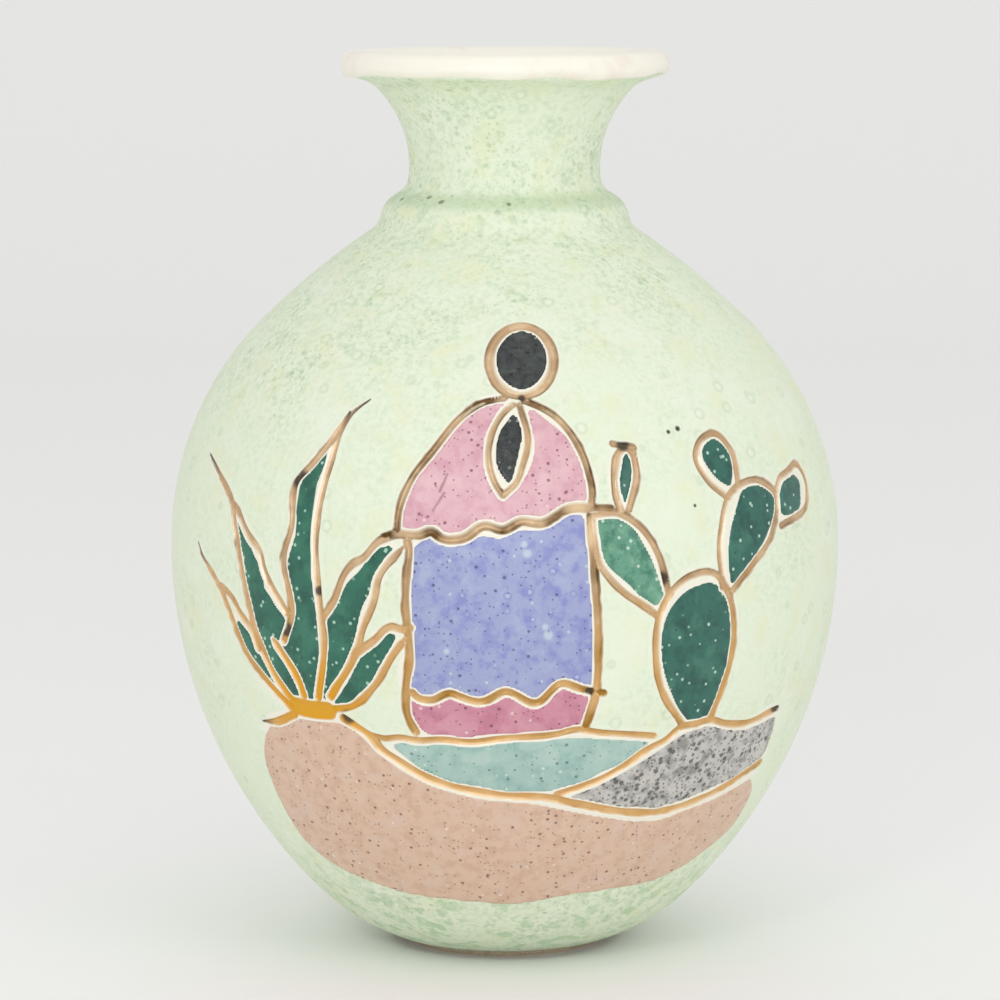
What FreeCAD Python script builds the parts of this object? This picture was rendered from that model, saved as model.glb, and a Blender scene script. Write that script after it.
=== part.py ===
import FreeCAD, Part
import Sketcher
import math
import os

# A thrown and carved bottle vase, in millimetres. The origin is the centre of the foot, +Z is up,
# and the carved scene faces -Y. The clay is thrown in four pieces (belly, neck with its collar, lip
# and foot ring). The green glaze lies on the clay, and on it lies a thinner layer, of which every
# colour of the carved scene and every group of gold lines is its own piece, edge to edge.

DOCUMENT = FreeCAD.newDocument("talavera_vase")

# ---------------------------------------------------------------------------------------------
# Driving sizes
# ---------------------------------------------------------------------------------------------

SIZES = {
    "belly_radius": 85.8,    # widest radius, over the glaze
    "belly_top": 186.0,      # height of the seat that the neck's collar stands on
    "foot_height": 2.0,      # how far the foot ring lifts the belly
    "foot_radius": 26.0,
    "foot_wall": 7.0,        # width of the foot ring's flat face
    "foot_bevel": 0.8,
    "clay_wall": 5.0,
    "floor_wall": 7.0,
    "glaze": 0.8,            # the green glaze over the clay
    "colour": 0.4,           # the coloured glazes and the gold, over the green
    "liner": 0.6,            # inner white glaze
    "collar_radius": 32.0,   # the neck's widest radius, where it stands on the belly
    "collar_round": 7.0,     # radius of the collar's rounded shoulder
    "collar_rise": 1.0,      # height of that round's centre above the seat
    "waist_radius": 24.3,    # narrowest radius of the neck, over the glaze
    "waist_rise": 14.0,
    "neck_arc": 29.0,        # radius of the neck's hollow outline
    "throat_radius": 19.0,   # clear bore of the neck, inside the white glaze
    "throat_length": 19.0,
    "flare_arc": 26.0,       # radius of the mouth's inner flare
    "lip_base_rise": 37.0,   # height of the lip's seat above the belly's seat
    "lip_height": 7.0,
    "lip_radius": 42.0,
    "lip_round": 3.9,
    "gold_width": 2.3,       # width of a gold line, measured on the pot
}

sheet = DOCUMENT.addObject("Spreadsheet::Sheet", "sizes")
for row, (alias, value) in enumerate(SIZES.items(), start=1):
    sheet.set("A%d" % row, alias)
    sheet.set("B%d" % row, str(value))
    sheet.setAlias("B%d" % row, alias)
RECKONER = DOCUMENT.addObject("App::FeaturePython", "reckoner")
DOCUMENT.recompute()


def size(alias):
    """The number that the sheet holds under this alias."""
    return float(getattr(sheet, alias))


def value(expression):
    """The number that an expression in the sheet's aliases comes to."""
    return float(RECKONER.evalExpression(expression))


# ---------------------------------------------------------------------------------------------
# The belly's outline and the scene, drawn on the standard pot
# ---------------------------------------------------------------------------------------------

# Outlines are drawn in millimetres on a pot of these two sizes, seen from the front: x to the right
# of the axis and z up. A pot of another size stretches them with its radius and its height.
STANDARD_RADIUS = 85.8
STANDARD_TOP = 186.0

# Radius and height of the belly's stations. The first and the last lie beyond the ends of the clay,
# so that an outline moved inwards still crosses the floor and the seat.
BELLY_STATIONS = [
    (20.5, 0), (27.6, 2), (36.5, 6), (47.3, 13.4), (59.7, 28), (70.4, 45), (79.0, 65), (84.2, 85),
    (85.8, 104), (83.0, 125), (75.0, 145), (60.9, 162.6), (46.2, 176), (31.3, 186), (16.0, 196),
]

# Centre lines of the gold, by group. Where two groups cross, the earlier one runs through.
GOLD_LINES = {
    "gold_head_ring": [],
    "gold_shawl_lines": [
        [(0, 148.5), (-6.5, 147), (-9.5, 145), (-17.5, 136), (-22.5, 129.5), (-25.5, 122), (-26, 116.5)],
        [(4.5, 148), (11, 145), (16, 140), (20, 131.5), (21, 126), (20.5, 122.5)],
        [(20.5, 123), (23, 123.3), (25.5, 122.5)],
    ],
    "gold_braid_lines": [
        [(2, 147), (0, 145.5), (-4, 136.5), (-2.5, 129), (-0.5, 126)],
        [(3.5, 147), (5.5, 138), (4, 132.5), (3, 129.5), (-0.5, 126)],
    ],
    "gold_waist_line": [
        [(-26, 116.5), (-20.5, 116.5), (-17.5, 117.5), (-15.5, 116), (-10, 116), (-5, 119), (-0.5, 118),
         (4, 120), (8.5, 119.5), (16, 123), (20.5, 122.5)],
    ],
    "gold_skirt_lines": [
        [(-23.5, 115), (-23, 113), (-23.5, 108.5), (-24, 100), (-23, 87), (-24, 78), (-23.5, 71.5),
         (-21.5, 67.5)],
        [(20.5, 121), (20.8, 115), (21.5, 107.5), (22.5, 88.5), (22, 78), (19.5, 69)],
    ],
    "gold_hem_line": [
        [(-22.5, 78), (-21, 76.5), (-18, 76), (-13, 78), (-10.5, 77), (-5.5, 76), (-3, 77), (-0.5, 78.5),
         (7.5, 75.5), (14, 80.5), (18, 79), (24, 77.5)],
    ],
    "gold_cactus_lines": [
        [(43.5, 67.5), (38, 77.5), (36.5, 87.5), (37.5, 96.5), (40.5, 102), (43.5, 104.5), (50.5, 105.5),
         (54.5, 100), (56, 92.5), (55, 81.5), (53.5, 76.5), (50.5, 68.5)],
        [(20.5, 121), (23, 109), (25.5, 105.5), (29, 102), (32.5, 99.5), (37, 96)],
        [(21, 121), (24, 121.5), (26.5, 121.5), (32.5, 118), (37, 111), (39, 104), (39.5, 101.5)],
        [(28, 121.5), (26.6, 126), (26.5, 132), (27.5, 135.5), (29.2, 136.5), (31, 135)],
        [(31, 135), (31.8, 130), (29.8, 122)],
        [(26, 138.5), (28.5, 137.6), (31, 137.2)],
        [(53, 101.5), (52.5, 115), (56, 125), (61.5, 126.5), (66, 123.5), (65.5, 112.5), (60.5, 106),
         (55.5, 100.5)],
        [(54.5, 123), (49, 128), (46.5, 134.5), (47.5, 137), (50.5, 138.5), (55, 134.5), (57, 126)],
        [(67, 123.5), (68, 126), (70, 127), (72.5, 128.5), (74, 126.5), (74.5, 117), (69.5, 115),
         (68, 114.5)],
    ],
    "gold_agave_lines": [
        [(-75.5, 109), (-75.5, 106), (-73, 102.5), (-71, 99.5), (-69, 95.5), (-63.5, 83), (-52.5, 71)],
        [(-70.5, 100), (-67, 96.5), (-65, 93), (-62.5, 90), (-60.5, 85)],
        [(-73.5, 130), (-70.5, 126), (-67.5, 121), (-66.5, 115), (-64, 100.5), (-63, 96), (-60.5, 87.5),
         (-54.5, 76), (-51.5, 72.5)],
        [(-66.5, 120.5), (-62.5, 112.5), (-60, 109.5), (-59, 105.5), (-53, 95)],
        [(-57, 88.5), (-50.5, 78.5), (-49, 74.5)],
        [(-32.5, 147.5), (-37, 144), (-39, 141), (-42.5, 131.5), (-45.5, 118.5), (-44.5, 94.5),
         (-44, 90), (-45.5, 74.5)],
        [(-37.5, 144.5), (-41, 139), (-47, 131.5), (-50.5, 127.5), (-52, 116), (-54, 109),
         (-52.5, 100), (-52, 95.5), (-54, 88)],
        [(-26.5, 116.5), (-31, 114), (-34, 110.5), (-37, 108.5), (-42, 98.5), (-44.5, 94.5)],
        [(-24, 114), (-30.5, 105.5), (-31.5, 100.5), (-34.5, 92.5), (-35.5, 88.5), (-42.5, 75)],
        [(-22.5, 94), (-25, 93.5), (-27.5, 94), (-31.5, 90.5), (-35.5, 87)],
        [(-23.5, 92), (-27, 87), (-31.5, 79), (-37.5, 73), (-41.5, 72)],
    ],
    "gold_mountain_line": [
        [(12.5, 51.5), (17.5, 53), (22, 54.5), (31, 59.5), (34.5, 62), (39, 64), (43, 67), (47, 67.5),
         (50.5, 68), (54, 66.5), (58.5, 65.5), (68, 67.5)],
    ],
    "gold_valley_line": [
        [(-60, 65.5), (-56.5, 66.5), (-51.5, 69.5)],
        [(-39.5, 70), (-36, 68), (-32.5, 65.5), (-30, 62.5), (-27, 60.5), (-19.5, 56), (-1.5, 51.5),
         (11, 50.5), (16.5, 49), (29.5, 45.5), (36, 44.5), (50.5, 47), (64, 53)],
    ],
    "gold_shore_line": [
        [(-32.5, 66), (-29.5, 65.5), (-25.5, 66), (-21, 65.5), (-15.5, 66), (-8, 65.5), (-1, 66.5),
         (12.5, 67.5), (17.5, 68.5), (22.5, 67.5), (30, 66.5), (36.5, 65.5)],
    ],
}

# The ring round the head is a circle: its centre and its radius.
HEAD_CENTRE = (4.0, 156.8)
HEAD_RADIUS = 7.8

# The pool of gold at the agave's root: half its width, half its height and its centre.
ROOT_CENTRE = (-47.0, 71.3)
ROOT_HALF_WIDTH = 5.5
ROOT_HALF_HEIGHT = 2.4

# Each colour's two sides, which start at one end of the shape and meet at the other. The shawl's
# two sides are its outer and its inner edge, joined by straight ends.
COLOURS = {
    "agave_leaf_1": (
        [(-65.5, 90), (-64, 87), (-62, 82.5), (-52.5, 71.5)],
        [(-65.5, 90), (-62.5, 87), (-56, 76.5), (-53.5, 73.5), (-52.5, 71.5)]),
    "agave_leaf_2": (
        [(-65.5, 116), (-65, 113), (-63.5, 108.5), (-62.5, 99.5), (-60.5, 92), (-59.5, 88),
         (-52, 75.5), (-51, 74.5)],
        [(-65.5, 116), (-64, 113.5), (-62, 107.5), (-60, 104.5), (-59.5, 100), (-58, 98), (-56, 95),
         (-54.5, 93.5), (-54.5, 90), (-57.5, 88), (-55.5, 84), (-53.5, 80.5), (-51, 76.5),
         (-51, 74.5)]),
    "agave_leaf_3": (
        [(-42.5, 135.5), (-48.5, 127), (-49.5, 123), (-50, 114.5), (-52, 106.5), (-51, 98.5),
         (-52.5, 90.5), (-53.5, 87), (-50.5, 79), (-48, 74.5)],
        [(-42.5, 135.5), (-43.5, 133.5), (-46, 128.5), (-47.5, 119), (-47, 106), (-47, 101.5),
         (-45, 89.5), (-46, 81), (-46.5, 76), (-48, 74.5)]),
    "agave_leaf_4": (
        [(-28, 112.5), (-30, 112), (-34.5, 106), (-37, 103.5), (-40, 97.5), (-42, 94.5), (-42, 88),
         (-43, 80), (-43.5, 75)],
        [(-28, 112.5), (-29.5, 110.5), (-31, 106.5), (-35, 100), (-38, 87), (-39.5, 83), (-43.5, 75)]),
    "agave_leaf_5": (
        [(-27.5, 91.5), (-29.5, 91), (-31, 88.5), (-35.5, 85), (-35.5, 83.5), (-38.5, 76.5),
         (-40.5, 73.5)],
        [(-27.5, 91.5), (-28.5, 89), (-36, 76.5), (-40.5, 73.5)]),
    "hair": (
        [(-2, 157), (1, 162), (6.5, 162.5), (10, 157)],
        [(-2, 157), (-2, 154.5), (1.5, 150.5), (4, 150.5), (7, 151.5), (10, 157)]),
    "braid": (
        [(2, 144), (-0.5, 140.5), (-1, 132.5), (1, 129.5)],
        [(2, 144), (3.5, 143), (4.5, 142), (3, 138), (2.5, 135.5), (1, 129.5)]),
    "shawl": (
        [(-1, 147.5), (-5, 146.5), (-8.5, 143.5), (-19, 131.5), (-22.5, 125), (-23.5, 122),
         (-24, 118.5), (-18, 118), (-15.5, 117.5), (-11, 117.5), (-6, 120.5), (-0.5, 119.5),
         (4, 121), (8.5, 121), (13, 124), (16.5, 124), (19, 125.5), (16, 136.5), (6.5, 145)],
        [(-2, 145), (-5.5, 134.5), (-4, 128.5), (-2, 127), (-0.5, 125.5), (3.5, 127.5), (8, 137),
         (7.5, 140), (7, 143)]),
    "skirt": (
        [(-21.5, 112.5), (-17.5, 115), (-15.5, 113.5), (-13, 113), (-8, 114.5), (-6, 115.5), (-1, 115),
         (4, 117), (7, 117), (12.5, 118.5), (17, 121), (18.5, 119.5), (20, 101), (20.5, 79.5)],
        [(-21.5, 112.5), (-22, 106), (-22.5, 97.5), (-21.5, 92.5), (-22, 78.5), (-20, 77.5),
         (-18, 77.5), (-14, 79.5), (-11, 79), (-8.5, 78.5), (-6.5, 77.5), (-1, 80), (4, 79.5),
         (8, 77), (10, 79), (15, 82), (17, 81), (20.5, 79.5)]),
    "hem": (
        [(-22.5, 75), (-15, 74.5), (-13, 75.5), (-10.5, 75.5), (-3.5, 74.5), (0, 76.5), (2.5, 75.5),
         (9.5, 74.5), (13.5, 77.5), (15, 78.5), (19.5, 76), (20.5, 74)],
        [(-22.5, 75), (-22, 71.5), (-20, 69.5), (-15, 67), (-5, 68.5), (5.5, 68), (17.5, 70.5),
         (20.5, 74)]),
    "cactus_pad_1": (
        [(49, 102.5), (40.5, 97), (38.5, 91), (39, 83), (41.5, 75.5), (44, 69.5), (47, 68)],
        [(49, 102.5), (54, 96), (54, 84), (50.5, 73), (49.5, 69.5), (47, 68)]),
    "cactus_pad_2": (
        [(21.5, 119.5), (27, 120), (33.5, 112), (38, 100)],
        [(21.5, 119.5), (24, 111), (30.5, 104.5), (35.5, 99.5), (38, 100)]),
    "cactus_pad_3": (
        [(29, 135), (28, 133.5), (27.5, 127), (28.5, 124)],
        [(29, 135), (30, 132), (29.8, 128), (28.5, 124)]),
    "cactus_pad_4": (
        [(61.5, 125), (58.5, 124), (57.5, 121.5), (55, 110.5), (55.5, 103)],
        [(61.5, 125), (65.5, 121.5), (64.5, 115), (55.5, 103)]),
    "cactus_pad_5": (
        [(50.5, 136), (49, 133.5), (52.5, 128), (54.5, 126.5)],
        [(50.5, 136), (54.5, 132), (54.5, 126.5)]),
    "cactus_pad_6": (
        [(71, 126), (68, 121), (68.5, 118), (70.5, 117)],
        [(71, 126), (72.5, 121.5), (72.5, 118), (70.5, 117)]),
    "pond": (
        [(-26, 63.5), (-21, 64.5), (-8, 64), (15.5, 65.5), (34, 63.5)],
        [(-26, 63.5), (-19.5, 58.5), (-11.5, 55), (-6, 54.5), (-1, 53.5), (4.5, 53), (9, 53),
         (14.5, 54.5), (19, 55.5), (22.5, 57.5), (27.5, 59.5), (34, 63.5)]),
    "mountain": (
        [(16, 50), (26.5, 54.5), (39, 61.5), (42, 63.5), (50.5, 65.5), (54.5, 64), (59, 63),
         (67, 64.5)],
        [(16, 50), (25, 48), (31.5, 47), (37.5, 46.5), (43.5, 47.5), (52, 50), (56, 51), (60, 53),
         (63.5, 54.5), (66, 59.5), (67, 64.5)]),
    "ground": (
        [(-59, 62), (-57.5, 65), (-46, 68.3), (-38, 67.5), (-34.5, 65), (-32, 62.5), (-28, 59),
         (-20, 54.3), (-8, 50.5), (6.5, 48.8), (23, 44.5), (34, 42), (39.5, 42), (44.5, 43.5),
         (49.5, 44.5), (61.5, 48.5)],
        [(-59, 62), (-59.5, 58.5), (-56.5, 45.5), (-53.5, 39), (-49.5, 33), (-40, 26.5), (-34, 24.5),
         (-27, 22.5), (-11, 21), (4, 20.5), (15.5, 22.5), (23.5, 23), (39.5, 24.5), (50.5, 30),
         (58, 36), (60.5, 40.5), (62, 45.5), (61.5, 48.5)]),
}


def on_pot(point):
    """A point of the standard pot's drawing, stretched to this pot, as x and z."""
    x, z = point
    return x * size("belly_radius") / STANDARD_RADIUS, z * size("belly_top") / STANDARD_TOP


def spline(points):
    """A smooth curve through points given as x and z, in the front plane; two points give a line."""
    vectors = [FreeCAD.Vector(x, 0, z) for x, z in points]
    if len(vectors) == 2:
        return Part.LineSegment(*vectors)
    curve = Part.BSplineCurve()
    curve.interpolate(vectors)
    return curve


def belly_outline(inset):
    """The belly's outline, moved inwards by this much, square to itself."""
    outline = spline([on_pot(station) for station in BELLY_STATIONS])
    moved = []
    for station in BELLY_STATIONS:
        x, z = on_pot(station)
        along = outline.tangent(outline.parameter(FreeCAD.Vector(x, 0, z)))[0]
        moved.append((x - along.z * inset, z + along.x * inset))
    return spline(moved)


HALVINGS = 50   # enough for the interval to come down to the computer's rounding


def parameter_at(outline, height):
    """The parameter at which a rising outline passes a height, by halving the interval."""
    low, high = outline.FirstParameter, outline.LastParameter
    for _ in range(HALVINGS):
        middle = (low + high) / 2
        if outline.value(middle).z < height:
            low = middle
        else:
            high = middle
    return (low + high) / 2


GLAZED_OUTLINE = belly_outline(0)


def belly_at(height):
    """The glazed belly's radius at a height, and how fast it grows with height."""
    place = parameter_at(GLAZED_OUTLINE, height)
    along = GLAZED_OUTLINE.tangent(place)[0]
    return GLAZED_OUTLINE.value(place).x, along.x / along.z


# ---------------------------------------------------------------------------------------------
# Sketch helpers: geometry first, then dimensions bound to the sheet
# ---------------------------------------------------------------------------------------------

START, END, CENTRE = 1, 2, 3
ORIGIN, HORIZONTAL_AXIS, VERTICAL_AXIS = -1, -1, -2


def turned_body(label, draw):
    """A body turned about the Z axis from the section that draw makes in its sketch."""
    body = DOCUMENT.addObject("PartDesign::Body", label)
    sketch = body.newObject("Sketcher::SketchObject", label + "_section")
    plane = [item for item in body.Origin.OriginFeatures if item.Role == "XZ_Plane"][0]
    sketch.AttachmentSupport = [(plane, "")]
    sketch.MapMode = "FlatFace"
    draw(sketch)
    DOCUMENT.recompute()
    turning = body.newObject("PartDesign::Revolution", label + "_turning")
    turning.Profile = sketch
    turning.ReferenceAxis = (sketch, ["V_Axis"])
    turning.Angle = 360
    body.Tip = turning
    DOCUMENT.recompute()
    return body


def line(sketch, start, end):
    """Add a straight edge and return its number."""
    return sketch.addGeometry(Part.LineSegment(FreeCAD.Vector(*start, 0), FreeCAD.Vector(*end, 0)))


def arc(sketch, centre, radius, first, last):
    """Add an arc, anticlockwise from the first angle to the last, and return its number."""
    circle = Part.Circle(FreeCAD.Vector(*centre, 0), FreeCAD.Vector(0, 0, 1), radius)
    return sketch.addGeometry(Part.ArcOfCircle(circle, first, last))


def chain(sketch, joints):
    """Join edge ends in pairs, each pair as (edge, end, edge, end)."""
    for joint in joints:
        sketch.addConstraint(Sketcher.Constraint("Coincident", *joint))


def at_height(sketch, edge, end, expression):
    """Fix the height of an edge's point."""
    number = sketch.addConstraint(
        Sketcher.Constraint("DistanceY", ORIGIN, START, edge, end, value(expression)))
    sketch.setExpression("Constraints[%d]" % number, expression)


def at_radius(sketch, edge, end, expression):
    """Fix the distance of an edge's point from the axis."""
    number = sketch.addConstraint(
        Sketcher.Constraint("DistanceX", ORIGIN, START, edge, end, value(expression)))
    sketch.setExpression("Constraints[%d]" % number, expression)


def round_of(sketch, edge, expression):
    """Fix an arc's radius."""
    number = sketch.addConstraint(Sketcher.Constraint("Radius", edge, value(expression)))
    sketch.setExpression("Constraints[%d]" % number, expression)


def closed_on_axis(sketch, top, axis, bottom):
    """Hold a section's top and bottom edges level and its last edge on the axis."""
    sketch.addConstraint(Sketcher.Constraint("Horizontal", top))
    sketch.addConstraint(Sketcher.Constraint("Vertical", axis))
    sketch.addConstraint(Sketcher.Constraint("Horizontal", bottom))
    sketch.addConstraint(Sketcher.Constraint("PointOnObject", axis, START, VERTICAL_AXIS))


# ---------------------------------------------------------------------------------------------
# Turned solids: the surfaces that the clay and the glaze lie between
# ---------------------------------------------------------------------------------------------

def section_object(label, edges):
    """A closed flat face made of these edges, as an object of the document."""
    section = DOCUMENT.addObject("Part::Feature", label)
    section.Shape = Part.Face(Part.Wire(Part.sortEdges(edges)[0]))
    return section


def turned(label, section):
    """A solid turned about the Z axis from a section object."""
    solid = DOCUMENT.addObject("Part::Revolution", label)
    solid.Source = section
    solid.Axis = (0, 0, 1)
    solid.Base = (0, 0, 0)
    solid.Angle = 360
    solid.Solid = True
    return solid


def belly_solid(label, inset, floor):
    """The whole belly turned solid, its outline moved in and its flat bottom at a height.

    The outline is a free curve through stations, which a sketch has no dimensions for, so its
    section is a Part::Feature. Inset and floor are expressions.
    """
    outline = belly_outline(value(inset))
    outline.segment(parameter_at(outline, value(floor)), parameter_at(outline, size("belly_top")))
    low = outline.value(outline.FirstParameter)
    high = outline.value(outline.LastParameter)
    on_axis_low = FreeCAD.Vector(0, 0, low.z)
    on_axis_high = FreeCAD.Vector(0, 0, high.z)
    section = section_object(label + "_section", [
        outline.toShape(), Part.makeLine(high, on_axis_high),
        Part.makeLine(on_axis_high, on_axis_low), Part.makeLine(on_axis_low, low)])
    return turned(label, section)


def circles_meet(centre, radius, other, other_radius):
    """The higher of the two points where two circles of the section cross."""
    across = other[0] - centre[0]
    up = other[1] - centre[1]
    apart = math.hypot(across, up)
    along = (radius ** 2 - other_radius ** 2 + apart ** 2) / (2 * apart)
    aside = math.sqrt(radius ** 2 - along ** 2)
    return (centre[0] + (along * across - aside * up) / apart,
            centre[1] + (along * up + aside * across) / apart)


def neck_section(inset):
    """The collar and the hollow neck, solid to the axis, moved in by this expression."""
    def draw(sketch):
        seat = size("belly_top")
        collar_centre = (size("collar_radius") - size("collar_round"), seat + size("collar_rise"))
        collar = size("collar_round") - value(inset)
        neck_centre = (size("waist_radius") + size("neck_arc"), seat + size("waist_rise"))
        neck = size("neck_arc") + value(inset)
        lip = seat + size("lip_base_rise")
        meet = circles_meet(collar_centre, collar, neck_centre, neck)
        low_angle = -math.asin(size("collar_rise") / collar)
        meet_on_collar = math.atan2(meet[1] - collar_centre[1], meet[0] - collar_centre[0])
        meet_on_neck = math.pi + math.atan2(neck_centre[1] - meet[1], neck_centre[0] - meet[0])
        top_on_neck = math.pi - math.asin((lip - neck_centre[1]) / neck)
        bottom = line(sketch, (0, seat), (collar_centre[0] + collar * math.cos(low_angle), seat))
        shoulder = arc(sketch, collar_centre, collar, low_angle, meet_on_collar)
        hollow = arc(sketch, neck_centre, neck, top_on_neck, meet_on_neck)
        top = line(sketch, (neck_centre[0] + neck * math.cos(top_on_neck), lip), (0, lip))
        axis = line(sketch, (0, lip), (0, seat))
        chain(sketch, [
            (bottom, END, shoulder, START), (shoulder, END, hollow, END),
            (hollow, START, top, START), (top, END, axis, START), (axis, END, bottom, START)])
        closed_on_axis(sketch, top, axis, bottom)
        at_height(sketch, bottom, START, "sizes.belly_top")
        at_height(sketch, top, START, "sizes.belly_top + sizes.lip_base_rise")
        at_radius(sketch, shoulder, CENTRE, "sizes.collar_radius - sizes.collar_round")
        at_height(sketch, shoulder, CENTRE, "sizes.belly_top + sizes.collar_rise")
        round_of(sketch, shoulder, "sizes.collar_round - (%s)" % inset)
        at_radius(sketch, hollow, CENTRE, "sizes.waist_radius + sizes.neck_arc")
        at_height(sketch, hollow, CENTRE, "sizes.belly_top + sizes.waist_rise")
        round_of(sketch, hollow, "sizes.neck_arc + (%s)" % inset)
    return draw


def throat_section(outset, top_expression):
    """The bore and the flaring mouth, solid to the axis, widened by this expression."""
    def draw(sketch):
        seat = size("belly_top")
        flare_centre = (size("throat_radius") + size("flare_arc"), seat + size("throat_length"))
        flare = size("flare_arc") - value(outset)
        rim = value(top_expression)
        top_on_flare = math.pi - math.asin((rim - flare_centre[1]) / flare)
        bore_x = flare_centre[0] - flare
        bottom = line(sketch, (0, seat), (bore_x, seat))
        bore = line(sketch, (bore_x, seat), (bore_x, flare_centre[1]))
        mouth = arc(sketch, flare_centre, flare, top_on_flare, math.pi)
        top = line(sketch, (flare_centre[0] + flare * math.cos(top_on_flare), rim), (0, rim))
        axis = line(sketch, (0, rim), (0, seat))
        chain(sketch, [
            (bottom, END, bore, START), (bore, END, mouth, END), (mouth, START, top, START),
            (top, END, axis, START), (axis, END, bottom, START)])
        closed_on_axis(sketch, top, axis, bottom)
        sketch.addConstraint(Sketcher.Constraint("Vertical", bore))
        at_height(sketch, bottom, START, "sizes.belly_top")
        at_height(sketch, top, START, top_expression)
        at_height(sketch, mouth, END, "sizes.belly_top + sizes.throat_length")
        at_radius(sketch, mouth, CENTRE, "sizes.throat_radius + sizes.flare_arc")
        at_height(sketch, mouth, CENTRE, "sizes.belly_top + sizes.throat_length")
        round_of(sketch, mouth, "sizes.flare_arc - (%s)" % outset)
    return draw


def lip_section(sketch):
    """The rolled lip, solid to the axis, from its seat on the neck to the rim."""
    seat = value(LIP_BASE)
    rim = value(LIP_TOP)
    radius = size("lip_round")
    centre = (size("lip_radius") - radius, rim - radius)
    low_angle = math.asin((seat - centre[1]) / radius)
    bottom = line(sketch, (0, seat), (centre[0] + radius * math.cos(low_angle), seat))
    roll = arc(sketch, centre, radius, low_angle, math.pi / 2)
    top = line(sketch, (centre[0], rim), (0, rim))
    axis = line(sketch, (0, rim), (0, seat))
    chain(sketch, [
        (bottom, END, roll, START), (roll, END, top, START), (top, END, axis, START),
        (axis, END, bottom, START)])
    closed_on_axis(sketch, top, axis, bottom)
    at_height(sketch, bottom, START, LIP_BASE)
    at_radius(sketch, roll, END, "sizes.lip_radius - sizes.lip_round")
    at_radius(sketch, roll, CENTRE, "sizes.lip_radius - sizes.lip_round")
    at_height(sketch, roll, CENTRE, LIP_TOP + " - sizes.lip_round")
    round_of(sketch, roll, "sizes.lip_round")


def foot_section(sketch):
    """The foot ring: a flat face to stand on, bevelled at its outer edge."""
    outer, height = size("foot_radius"), size("foot_height")
    inner, bevel = outer - size("foot_wall"), size("foot_bevel")
    corners = [(inner, 0), (outer - bevel, 0), (outer, bevel), (outer, height), (inner, height)]
    edges = [line(sketch, *pair) for pair in zip(corners, corners[1:] + corners[:1])]
    chain(sketch, [(edge, END, after, START) for edge, after in zip(edges, edges[1:] + edges[:1])])
    ground, slant, side, seat, bore = edges
    for edge in (ground, seat):
        sketch.addConstraint(Sketcher.Constraint("Horizontal", edge))
    for edge in (side, bore):
        sketch.addConstraint(Sketcher.Constraint("Vertical", edge))
    sketch.addConstraint(Sketcher.Constraint("PointOnObject", ground, START, HORIZONTAL_AXIS))
    at_radius(sketch, bore, START, "sizes.foot_radius - sizes.foot_wall")
    at_radius(sketch, slant, START, "sizes.foot_radius - sizes.foot_bevel")
    at_radius(sketch, side, START, "sizes.foot_radius")
    at_height(sketch, side, START, "sizes.foot_bevel")
    at_height(sketch, seat, START, "sizes.foot_height")


# ---------------------------------------------------------------------------------------------
# Drawn shapes: the scene's colours and the gold lines, as flat faces in the front plane
# ---------------------------------------------------------------------------------------------

FRONT_PLANE = Part.Plane(FreeCAD.Vector(0, 0, 0), FreeCAD.Vector(0, -1, 0))
SMALLEST_EDGE = 0.01   # two ends closer than this meet in a point
SMALLEST_AREA = 0.5    # a scrap smaller than this, left where two lines cross, is left out
RAIL_STEP = 2.0        # distance between the rails' points along a gold line
SHALLOWEST = 0.2       # the least depth behind the front plane, as a share of the radius


def flat_face(edges):
    """A face of the front plane bordered by these edges, whichever way round they run."""
    border = Part.Wire(Part.sortEdges(edges)[0])
    face = Part.Face(FRONT_PLANE, [border])
    if face.Area < 0:
        border.reverse()
        face = Part.Face(FRONT_PLANE, [border])
    return face


def colour_face(sides):
    """The flat face between a colour's two sides."""
    first, second = [spline([on_pot(point) for point in side]) for side in sides]
    edges = [first.toShape(), second.toShape()]
    for corner in ("FirstParameter", "LastParameter"):
        one = first.value(getattr(first, corner))
        other = second.value(getattr(second, corner))
        if one.distanceToPoint(other) > SMALLEST_EDGE:
            edges.append(Part.makeLine(one, other))
    return flat_face(edges)


def rails(curve):
    """Points on both sides of a gold line, half its width away along the pot's surface.

    At each step the direction of the line and the surface's normal are crossed, which gives the
    way across the line on the pot, and the point is moved that way and seen from the front again.
    """
    steps = max(int(curve.length() / RAIL_STEP), 1) + 1
    left, right = [], []
    for number in range(steps + 1):
        place = curve.FirstParameter + (curve.LastParameter - curve.FirstParameter) * number / steps
        point, along = curve.value(place), curve.tangent(place)[0]
        radius, slope = belly_at(point.z)
        depth = math.sqrt(max(radius ** 2 - point.x ** 2, (radius * SHALLOWEST) ** 2))
        normal = FreeCAD.Vector(point.x / radius, -depth / radius, -slope).normalize()
        flat = FreeCAD.Vector(along.x, 0, along.z)
        on_surface = flat - FreeCAD.Vector(0, 1, 0) * (flat.dot(normal) / normal.y)
        across = normal.cross(on_surface.normalize()) * (size("gold_width") / 2)
        left.append((point.x + across.x, point.z + across.z))
        right.append((point.x - across.x, point.z - across.z))
    return left, right


def line_face(points):
    """A gold line's flat face: short straight runs along two rails, and a point at each end."""
    curve = spline([on_pot(point) for point in points])
    left, right = rails(curve)
    reach = size("gold_width") / 2
    tail = curve.value(curve.FirstParameter) - curve.tangent(curve.FirstParameter)[0] * reach
    tip = curve.value(curve.LastParameter) + curve.tangent(curve.LastParameter)[0] * reach
    corners = [tail] + [FreeCAD.Vector(x, 0, z) for x, z in left] + [tip]
    corners += [FreeCAD.Vector(x, 0, z) for x, z in reversed(right)] + [tail]
    return flat_face(Part.makePolygon(corners).Edges)


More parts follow.
